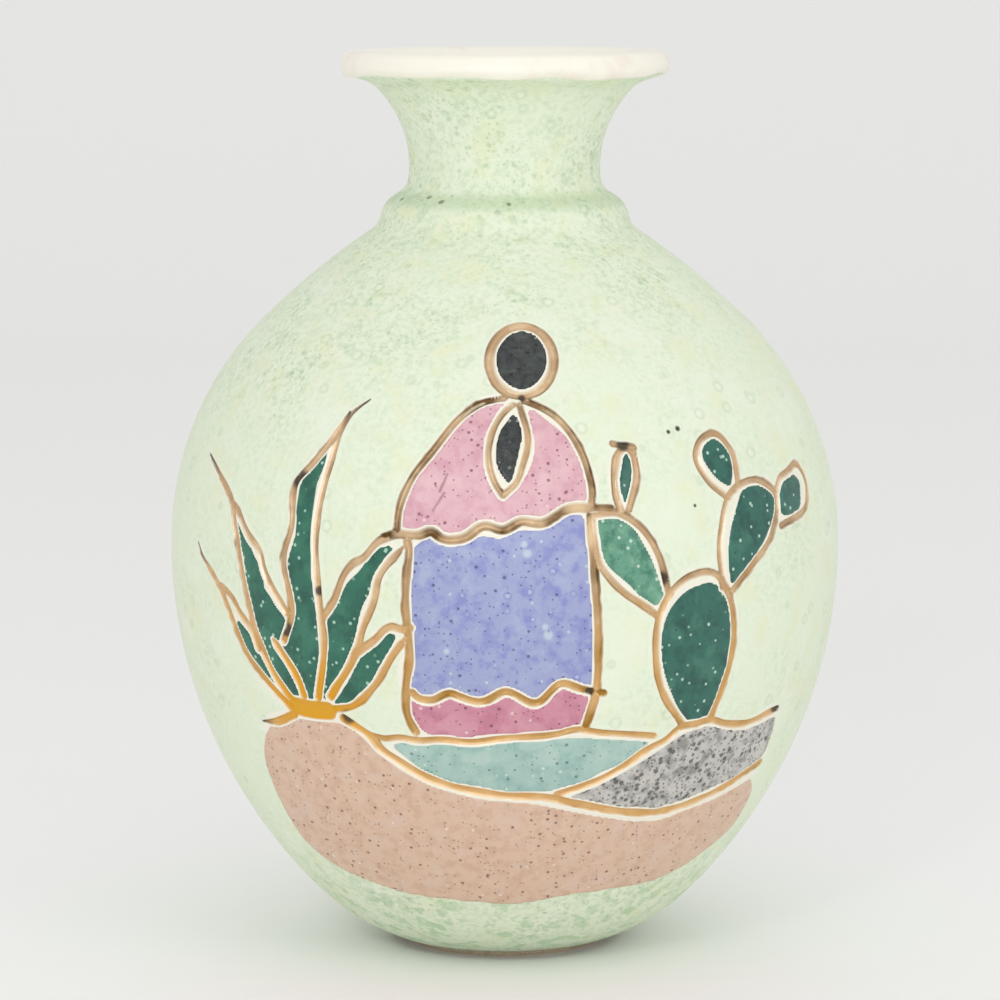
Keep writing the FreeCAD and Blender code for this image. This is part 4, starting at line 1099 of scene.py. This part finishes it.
coat_finish = make_green_coat()
line_finish = make_gold_lines()
white_finish = make_white_glaze()
clay_finish = make_clay()
glaze_finish = {name: make_glaze(name, **recipe) for name, recipe in GLAZES.items()}
print("%d finishes" % (4 + len(glaze_finish)))

# %% [markdown]
# ## The green coat
# The coat is a closed skin: its outer outline is the belly, the collar and the hollow neck, and its
# inner one runs back a little inside. It is turned about the axis with fine steps at the front, where
# it dips under the carved lines, and coarser ones behind.

# %% Outlines as chains of points
def circles_meet(centre, radius, other, other_radius):
    """The point on the left of the way from one centre to the other where the circles cross."""
    way = np.array(other) - np.array(centre)
    apart = np.hypot(*way)
    along = (radius ** 2 - other_radius ** 2 + apart ** 2) / (2 * apart)
    aside = math.sqrt(radius ** 2 - along ** 2)
    return np.array(centre) + (along * way + aside * np.array([-way[1], way[0]])) / apart


def arc_points(centre, radius, start, end, count=200):
    """Points from one angle to another, in radians."""
    angle = np.linspace(start, end, count)
    return np.stack([centre[0] + radius * np.cos(angle), centre[1] + radius * np.sin(angle)], axis=-1)


def spaced(path, spacing):
    """The path read off again at even steps, or at steps that a function of height gives."""
    step = np.linalg.norm(np.diff(path, axis=0), axis=1)
    height = (path[1:, 1] + path[:-1, 1]) / 2
    density = 1 / (spacing(height) if callable(spacing) else spacing + 0 * height)
    count = np.concatenate([[0.0], np.cumsum(step * density)])
    marks = np.linspace(0, count[-1], int(round(count[-1])) + 1)
    return np.stack([np.interp(marks, count, path[:, k]) for k in (0, 1)], axis=-1)


def shifted(path, distance):
    """The path moved to its left, square to itself."""
    way = np.gradient(path, axis=0)
    way /= np.linalg.norm(way, axis=1, keepdims=True)
    return path + distance * np.stack([-way[:, 1], way[:, 0]], axis=-1)


print("a quarter circle of radius 10 read at 1 mm: %d points"
      % len(spaced(arc_points((0.0, 0.0), 10.0, 0.0, math.pi / 2), 1.0)))

# %% The coat's outline
collar_meet = circles_meet(COLLAR_CENTRE, COLLAR_ROUND, NECK_CENTRE, NECK_ARC)
collar_start = -math.asin(1.0 / COLLAR_ROUND)
collar_end = math.atan2(collar_meet[1] - COLLAR_CENTRE[1], collar_meet[0] - COLLAR_CENTRE[0])
neck_start = math.atan2(collar_meet[1] - NECK_CENTRE[1], collar_meet[0] - NECK_CENTRE[0]) % (2 * math.pi)
neck_end = math.pi - math.asin((rim_height - 9.0 - NECK_CENTRE[1]) / NECK_ARC)
UNDER_LIP = np.array([(35.2, rim_height - 8.0), (38.0, rim_height - 7.1), (39.8, rim_height - 6.5),
                      (40.7, rim_height - 5.8)])

belly_heights = np.linspace(FOOT_TOP, seat_height, 3000)
belly_path = np.stack([belly(belly_heights)[0], belly_heights], axis=-1)
coat_path = np.vstack([belly_path, arc_points(COLLAR_CENTRE, COLLAR_ROUND, collar_start, collar_end),
                       arc_points(NECK_CENTRE, NECK_ARC, neck_start, neck_end), UNDER_LIP])
coat_path = spaced(coat_path, 0.1)
softened = blurred(blurred(coat_path, 26), 26)
near_collar = smooth_step(np.abs(coat_path[:, 1] - seat_height), 16.0, 10.0)[:, None]
softened = softened * near_collar + blurred(coat_path, 4) * (1 - near_collar)
coat_path = np.vstack([coat_path[:1], softened[1:-1], coat_path[-1:]])
print("outline of the coat %.0f mm long" % (0.1 * len(coat_path)))

# %% The coat
COAT_THICKNESS = 0.8
FRONT_ANGLE = math.radians(72)
FINE, COARSE = 1.1, 3.2
TROUGH = -0.78                    # how far the coat dips under a groove, out of sight
SCENE_LOW, SCENE_HIGH = 14, 170   # the heights between which the carved scene can lie


def coat_spacing(height):
    """Fine where the scene is, coarser towards the foot and on the shoulder."""
    return np.where((height > 16) & (height < 168), FINE, np.where(height > seat_height - 4, 1.2, 1.8))


outer = spaced(coat_path, coat_spacing)
inner = shifted(spaced(coat_path, 6.0), COAT_THICKNESS)[::-1]
section = np.vstack([outer, inner])
fine_angles = np.linspace(-FRONT_ANGLE, FRONT_ANGLE, int(2 * FRONT_ANGLE * belly_radius / FINE))
coarse_angles = np.linspace(FRONT_ANGLE, 2 * math.pi - FRONT_ANGLE,
                            int((2 * math.pi - 2 * FRONT_ANGLE) * belly_radius / COARSE))[1:-1]
angles = np.concatenate([fine_angles, coarse_angles])
coat_points, coat_faces = turned(section, angles)
row_number = np.arange(len(section))[:, None] + 0 * angles
height_now = coat_points[..., 2]
in_scene = (height_now > SCENE_LOW) & (height_now < SCENE_HIGH) & (np.abs(angles) <= FRONT_ANGLE)
watched = (row_number < len(outer)) & in_scene
found = relief(coat_points[watched])
dip = np.zeros(coat_points.shape[:2])
dip[watched] = TROUGH * (1 - smooth_step(found["edge"], 0.25, 1.0))
cream = np.zeros(coat_points.shape[:2])
cream[watched] = colour_shares(coat_points[watched], found)["cream"]
coat_points = lifted(coat_points, dip)
coat = make_piece("green_coat_skin", [(coat_points.reshape(-1, 3), coat_faces)], coat_finish,
                  ["green_coat"], {"cream": cream.ravel()})
print("coat: %d faces" % len(coat.data.polygons))

# %% [markdown]
# ## The white lip and the inside
# The lip was dipped in thick white, which ends in a soft, slightly wandering edge over the green. The
# same white lines the throat and the belly. Both are turned pieces. The liner reaches the axis, so its
# section stays open there and the points that meet on the axis are merged.

# %% The lip
CLOSE = 0.05            # steps of the chain that is averaged
THROAT_LENGTH = 19.0
THROAT_RADIUS = 18.9
FLARE_CENTRE = (45.0, seat_height + THROAT_LENGTH)
FLARE_ARC = 26.0


def rounded_loop(corners, spacing, softness):
    """A closed chain through the corners, averaged along itself so that the corners go round."""
    loop = np.vstack([corners, corners[:1]])
    dense = spaced(loop, CLOSE)[:-1]
    reach = int(softness / CLOSE)
    wrapped = np.vstack([dense[-3 * reach:], dense, dense[:3 * reach]])
    soft = blurred(blurred(wrapped, reach), reach)[3 * reach:-3 * reach]
    return soft[::int(spacing / CLOSE)]


LINER_TUCK = 0.5                    # how far the lip and the liner each end behind the other


def flare_angle(height):
    """The angle on the mouth's arc at a height: pi less the arc sine of height over radius."""
    return math.pi - math.asin((height - FLARE_CENTRE[1]) / FLARE_ARC)


flare_low = flare_angle(rim_height - 7.0)
flare_high = flare_angle(rim_height - 0.4)
mouth_angles = np.linspace(flare_angle(rim_height - 10.5), flare_high, 80)
mouth_round = np.stack([np.cos(mouth_angles), np.sin(mouth_angles)], axis=-1)
mouth_heights = FLARE_CENTRE[1] + FLARE_ARC * mouth_round[:, 1:]
mouth_behind = LINER_TUCK * smooth_step(mouth_heights, rim_height - 7.5, rim_height - 10.5)
lip_corners = np.vstack([
    np.array(FLARE_CENTRE) + (FLARE_ARC - mouth_behind) * mouth_round,
    [(39.6, rim_height), (41.2, rim_height - 0.9), (42.1, rim_height - 3.2), (42.1, rim_height - 4.6),
     (40.9, rim_height - 6.2), (38.5, rim_height - 6.3), (30.0, rim_height - 7.4)]])
lip_section = rounded_loop(lip_corners, 0.4, 0.5)
lip_angles = np.linspace(0, 2 * math.pi, 300, endpoint=False)
lip_points, lip_faces = turned(lip_section, lip_angles)
round_place = np.stack([np.sin(lip_angles), np.cos(lip_angles)], axis=-1) * 40
edge_share = smooth_step(lip_points[..., 2], rim_height - 3.5, rim_height - 5.8)
edge_share *= smooth_step(np.hypot(lip_points[..., 0], lip_points[..., 1]), 33.0, 37.0)
lip_points[..., 2] += 0.35 * waves(round_place, 26.0, seed=3) * edge_share
lip_points[..., 2] += 0.04 * waves(round_place, 90.0, seed=4, count=3) - 0.08
lip = make_piece("white_lip", [(lip_points.reshape(-1, 3), lip_faces)], white_finish,
                 ["lip_band"])
print("lip: %d faces, %.2f mm across" % (len(lip.data.polygons), lip.dimensions.x / MM))

# %% The inside
LINER_THICKNESS = 0.6
LINER_ANGLES = 180
inside_low, inside_high = 9.6, seat_height - 2.0
wall_heights = np.linspace(13.0, inside_high - 12.0, 900)
wall_path = np.stack([belly(wall_heights)[0] - 6.4, wall_heights], axis=-1)
liner_path = np.vstack([
    [(0.0, inside_low), (24.0, inside_low)],
    wall_path,
    [(27.0, inside_high - 6.0), (19.6, inside_high - 2.5), (THROAT_RADIUS, seat_height + 2.0),
     (THROAT_RADIUS, seat_height + THROAT_LENGTH)],
    arc_points(FLARE_CENTRE, FLARE_ARC, math.pi, flare_low, 60),
    arc_points(FLARE_CENTRE, FLARE_ARC - LINER_TUCK, flare_angle(rim_height - 5.8),
               flare_angle(rim_height - 5.4), 2)])
liner_path = spaced(liner_path, 0.1)
liner_path = np.vstack([liner_path[:1], blurred(blurred(liner_path, 20), 20)[1:-1], liner_path[-1:]])
liner_inner = spaced(liner_path, 1.6)
liner_outer = shifted(liner_inner, -LINER_THICKNESS)[::-1]
liner_outer[-1, 0] = 0.0
liner_section = np.vstack([liner_inner, liner_outer])
liner_angles = np.linspace(0, 2 * math.pi, LINER_ANGLES, endpoint=False)
liner_points, liner_faces = turned(liner_section, liner_angles)
liner_faces = liner_faces[:-LINER_ANGLES]          # the band along the axis has no area
liner = make_piece("white_liner_skin", [(liner_points.reshape(-1, 3), liner_faces)], white_finish,
                   ["white_liner"])
shell = bmesh.new()
shell.from_mesh(liner.data)
shell.verts.ensure_lookup_table()
on_axis = shell.verts[:LINER_ANGLES] + shell.verts[-LINER_ANGLES:]   # the first and the last ring
bmesh.ops.remove_doubles(shell, verts=on_axis, dist=1e-5)
shell.to_mesh(liner.data)
shell.free()
print("liner: %d faces" % len(liner.data.polygons))

# %% [markdown]
# ## The carved lines
# Each line becomes a strip that follows it, wide enough to hold the groove, the burr on both sides and
# a margin of coat. The margin ends a hair under the coat's surface, so the strip seems to grow out of
# it. Past both ends the strip runs on straight for its own reach, which gives the groove its round
# end. On the inner side of a tight bend the strip would fold over, so it is kept narrower there.

# %% One strip
MARGIN = 2.3
STRIP_COLUMNS = 27
STRIP_BOTTOM = -0.95
OVER_COAT, UNDER_COAT = 0.006, 0.012     # the strip above the coat at its line, below it at its margin
BEND_SHARE = 0.85                        # of the bend's own radius, how wide its inner side may be
LIFT_STEP, LIFTS = 0.0015, 9             # strips that cross lie at different hairs, by turns


def strip(line, lift):
    """Rows square to the line at each of its points, laid on the pot, then raised by the relief."""
    middle = line["middle"]
    reach = line["half"].max() + MARGIN
    steps = np.arange(1, int(reach / LINE_STEP) + 1)[:, None] * LINE_STEP
    first = middle[0] - middle[2]
    last = middle[-1] - middle[-3]
    before = middle[0] + (steps * first / np.linalg.norm(first))[::-1]
    after = middle[-1] + steps * last / np.linalg.norm(last)
    run = onto_pot(np.vstack([before, middle, after]))
    half = np.concatenate([np.repeat(line["half"][0], len(steps)), line["half"],
                           np.repeat(line["half"][-1], len(steps))])
    way = np.gradient(run, axis=0)
    way = blurred(way, 2)
    way /= np.linalg.norm(way, axis=1, keepdims=True)
    aside = np.cross(outward(run), way)
    aside /= np.linalg.norm(aside, axis=1, keepdims=True)
    bend = (np.gradient(way, axis=0) * aside).sum(axis=1) / LINE_STEP
    offset = np.linspace(-1, 1, STRIP_COLUMNS)[None, :] * (half + MARGIN)[:, None]
    limit = BEND_SHARE / np.maximum(np.abs(bend), 1e-6)[:, None]
    inner_side = np.sign(offset) == np.sign(bend)[:, None]
    offset = np.where(inner_side, np.clip(offset, -limit, limit), offset)
    base = onto_pot(run[:, None, :] + aside[:, None, :] * offset[..., None])
    flat = base.reshape(-1, 3)
    found = relief(flat)
    past = np.concatenate([steps[::-1, 0], np.zeros(len(middle)), steps[:, 0]])
    beyond = np.maximum(np.abs(offset), past[:, None]) - half[:, None]
    away = smooth_step(beyond, 0.6, MARGIN)
    tuck = ((OVER_COAT + lift) * (1 - away) - UNDER_COAT * away).ravel()
    shape = base.shape
    upper = lifted(flat, groove_height(found) + tuck).reshape(shape)
    lower = lifted(flat, np.full(len(flat), STRIP_BOTTOM)).reshape(shape)
    shares = {key: np.tile(share, 2) for key, share in colour_shares(flat, found).items()}
    return slab(upper, lower), shares


print("strips are %d points wide" % STRIP_COLUMNS)

# %% All the strips, one object for each group of lines
strips = {}
for number, line in enumerate(LINES):
    strips.setdefault(line["group"], []).append(strip(line, LIFT_STEP * (number % LIFTS)))
for group, members in strips.items():
    shares = {key: np.concatenate([each[1][key] for each in members]) for key in members[0][1]}
    piece = make_piece(group + "_groove", [each[0] for each in members], line_finish,
                       [group], shares)
    print("%-22s %2d lines %6d faces" % (group, len(members), len(piece.data.polygons)))

# %% [markdown]
# ## The fields of colour
# A field is cut from a grid of angles and heights: the cells near enough to its border, or within it,
# stay. Its height follows from the distance to its own border and to the nearest carved line. It
# starts under the coat, comes up through it, and stands in a low crown, as thick glaze does. The
# stepped rim of the grid stays hidden under the coat.

# %% A slab of some of a grid's cells
def without_pinches(cells):
    """The same cells, with every place where two touch only at a corner filled up."""
    while True:
        a, b, c, d = cells[:-1, :-1], cells[1:, 1:], cells[:-1, 1:], cells[1:, :-1]
        pinched = (a & b & ~c & ~d) | (c & d & ~a & ~b)
        if not pinched.any():
            return cells
        row, column = np.nonzero(pinched)
        for down, right in ((0, 0), (0, 1), (1, 0), (1, 1)):
            cells[row + down, column + right] = True


def cut_slab(upper, lower, cells):
    """Both sides of the chosen cells, a wall wherever a chosen cell has no neighbour, and no more."""
    rows, columns = upper.shape[:2]
    count = rows * columns
    chosen = np.zeros((rows + 1, columns + 1), bool)
    chosen[1:-1, 1:-1] = cells
    faces = grid_faces(rows, columns)[cells.ravel()]
    parts = [faces, faces[:, ::-1] + count]
    number = np.arange(count).reshape(rows, columns)
    corners = [number[:-1, :-1], number[:-1, 1:], number[1:, 1:], number[1:, :-1]]
    beside = [chosen[:-2, 1:-1], chosen[1:-1, 2:], chosen[2:, 1:-1], chosen[1:-1, :-2]]
    for k in range(4):
        bare = cells & ~beside[k]
        start, end = corners[k][bare], corners[(k + 1) % 4][bare]
        parts.append(np.stack([end, start, start + count, end + count], axis=-1))
    faces = np.vstack(parts)
    used, renumbered = np.unique(faces, return_inverse=True)
    points = np.vstack([upper.reshape(-1, 3), lower.reshape(-1, 3)])[used]
    return points, renumbered.reshape(faces.shape)


print("two cells that touch at a corner become %d" % without_pinches(np.eye(2, dtype=bool)).sum())

# %% One field
CELL = 0.5
CROWN = 0.20
SUNK = -0.80


def field_slab(name, growth):
    """A grid of angles and heights over the field, raised by distance from its border and the lines."""
    outline = OUTLINES[name]
    turn = np.arctan2(outline[:, 0], -outline[:, 1])
    spare = growth + 1.8
    angle = np.arange(turn.min() - spare / belly_radius, turn.max() + spare / belly_radius,
                      CELL / belly_radius)
    level = np.arange(outline[:, 2].min() - spare, outline[:, 2].max() + spare, CELL)[:, None]
    radius = belly(level)[0]
    base = np.stack([radius * np.sin(angle), -radius * np.cos(angle), level + 0 * angle], axis=-1)
    flat = base.reshape(-1, 3)
    distance = distance_to(flat, outline)[0]
    border = np.where(inside_outline(flat, outline), distance, -distance) + growth
    rise = smooth_step(border, -0.5, 0.1)
    line_edge = np.full(len(flat), RELIEF_REACH)
    touched = border > -1.2
    line_edge[touched] = relief(flat[touched])["edge"]
    rise = rise * smooth_step(line_edge, -0.35, 0.5)
    thick = SUNK + (CROWN - SUNK) * rise + 0.035 * waves(flat, 9.0, seed=11) * rise
    upper = lifted(flat, thick).reshape(base.shape)
    lower = lifted(flat, np.full(len(flat), SUNK - 0.2)).reshape(base.shape)
    near = (border > -0.6).reshape(base.shape[:2])
    cells = near[:-1, :-1] | near[1:, :-1] | near[:-1, 1:] | near[1:, 1:]
    return cut_slab(upper, lower, without_pinches(cells))


print("cells of %.1f mm, glaze %.2f mm above the wall" % (CELL, CROWN))

# %% All the fields
FIELD_FINISH = {"hair": ("soft_black", "black_glaze"), "braid": ("soft_black", "black_glaze"),
                "shawl": ("shawl_pink", "pink_glaze"), "hem": ("hem_pink", "pink_glaze"),
                "skirt": ("periwinkle", "blue_glaze"), "pond": ("pond_teal", "teal_glaze"),
                "mountain": ("slate_grey", "grey_glaze"), "ground": ("rose_earth", "rose_glaze"),
                "cactus_pad_2": ("sage_green", "cactus_green_glaze")}
LEAF_FINISH = ("agave_green", "agave_green_glaze")
PAD_FINISH = ("cactus_green", "cactus_green_glaze")
# How far each runs over its drawn border towards the lines.
LEAF_GROWTH, PAD_GROWTH = 1.2, 0.8
GROWTH = {"hair": 0.6, "braid": 0.7, "shawl": 1.0, "skirt": 1.0, "hem": 1.1, "pond": 1.0, "mountain": 0.8,
          "ground": 0.3}
for name in FIELDS:
    usual = LEAF_FINISH if "leaf" in name else PAD_FINISH
    finish, slot = FIELD_FINISH.get(name, usual)
    grown = GROWTH.get(name, LEAF_GROWTH if "leaf" in name else PAD_GROWTH)
    piece = make_piece(name + "_glaze", [field_slab(name, grown)], glaze_finish[finish], [name])
    print("%-14s %-12s %6d faces" % (name, finish, len(piece.data.polygons)))

# %% [markdown]
# ## The clay
# The walls and the foot ring stay as the frame gives them. Only the foot's bare ring is ever seen.

# %% Bare clay on the frame's own pieces
clay_finish_nodes = ("belly_wall", "neck_wall", "foot_ring")
for name in clay_finish_nodes:
    clay_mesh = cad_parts[name].data
    clay_mesh.materials.clear()
    clay_mesh.materials.append(clay_finish)

print("clay: %s" % ", ".join(clay_finish_nodes))

# %% [markdown]
# ## Where it stands
# The vase stands on a pale sheet that runs back level and then curves up behind it, so there is no
# line where the floor ends. Light comes softly from everywhere, and most of the rest from in front.

# %% The sheet
sheet_path = np.vstack([[(-8.0, 0.0), (1.6, 0.0)],
                        arc_points((1.6, 1.2), 1.2, -math.pi / 2, 0.0, 40), [(2.8, 3.2)]])
sheet_x = np.linspace(-9.0, 9.0, 9)
sheet_points = np.stack([sheet_x[None, :] + 0 * sheet_path[:, :1], sheet_path[:, :1] + 0 * sheet_x,
                         sheet_path[:, 1:] + 0 * sheet_x], axis=-1)
sheet_mesh = bpy.data.meshes.new("sheet")
sheet_faces = grid_faces(*sheet_points.shape[:2])
sheet_mesh.from_pydata(sheet_points.reshape(-1, 3).tolist(), [], sheet_faces.tolist())
sheet_mesh.polygons.foreach_set("use_smooth", np.ones(len(sheet_mesh.polygons), dtype=bool))
sheet_finish, tree, shader = start_finish("pale_sheet")
place = millimetres(tree)
split = add_node(tree, "SeparateXYZ")
tree.links.new(place, split.inputs[0])
# Painted light: the sheet is painted a little brighter towards the front.
painted_front_light = eased(tree, split.outputs["Y"], 500.0, -150.0)
tone = mixed(tree, painted_front_light, paint(250, 250, 249), paint(254, 254, 254))
feed(tree, mixed(tree, times(tree, cloudy(tree, place, 400.0, 60, 1.0), 0.1), tone,
                 paint(240, 240, 238)), shader.inputs["Base Color"])
shader.inputs["Roughness"].default_value = 0.9
shader.inputs["Specular IOR Level"].default_value = 0.1
sheet_mesh.materials.append(sheet_finish)
sheet = bpy.data.objects.new("sheet", sheet_mesh)
bpy.context.scene.collection.objects.link(sheet)
sheet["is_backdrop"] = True
print("sheet: %d faces" % len(sheet_mesh.polygons))

# %% Soft light
world = bpy.data.worlds.new("soft_room")
world.use_nodes = True
world.node_tree.nodes["Background"].inputs["Color"].default_value = (1.0, 1.0, 1.0, 1.0)
world.node_tree.nodes["Background"].inputs["Strength"].default_value = 0.77
bpy.context.scene.world = world


LAMP_AIM = Vector((0.0, 0.0, 0.12))     # a little above the middle of the vase


def soft_lamp(name, place, size, power):
    """A square lamp of this size, in metres, that faces the vase; it isn't seen itself."""
    lamp = bpy.data.lights.new(name, "AREA")
    lamp.shape = "SQUARE"
    lamp.size = size
    lamp.energy = power
    holder = bpy.data.objects.new(name, lamp)
    holder.location = place
    aim = LAMP_AIM - Vector(place)
    holder.rotation_euler = aim.to_track_quat("-Z", "Y").to_euler()
    holder.visible_camera = False
    bpy.context.scene.collection.objects.link(holder)


soft_lamp("lamp_above", (0.3, -0.9, 2.2), 1.6, 3.2)
soft_lamp("lamp_right", (1.6, -1.6, 0.9), 0.9, 2.7)
soft_lamp("lamp_front", (0.0, -2.6, 0.55), 1.4, 9.0)
soft_lamp("lamp_glint", (-0.35, -1.2, 0.75), 0.15, 1.2)

print("%d lamps" % len(bpy.data.lights))

# %% The camera
eye = bpy.data.cameras.new("eye")
eye.lens = 161.8
eye.sensor_width = 36.0
camera = bpy.data.objects.new("eye", eye)
camera.location = (-0.00121, -1.150, 0.26313)
camera.rotation_euler = (math.radians(90 - 7.374), 0, 0)
bpy.context.scene.collection.objects.link(camera)
bpy.context.scene.camera = camera
bpy.context.scene.view_settings.view_transform = "Standard"

print("camera %.2f m in front, %.2f m up" % (-camera.location.y, camera.location.z))

# %% [markdown]
# ## The size, before and after
# Both boxes, that of the frame and that of the surfaces that dress it, are printed side by side.

# %% Both boxes
new_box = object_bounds()
for label, (low, high) in (("frame", cad_box), ("surfaces", new_box)):
    print("%-9s %.1f x %.1f x %.1f mm" % (label, *[(high[k] - low[k]) / MM for k in range(3)]))
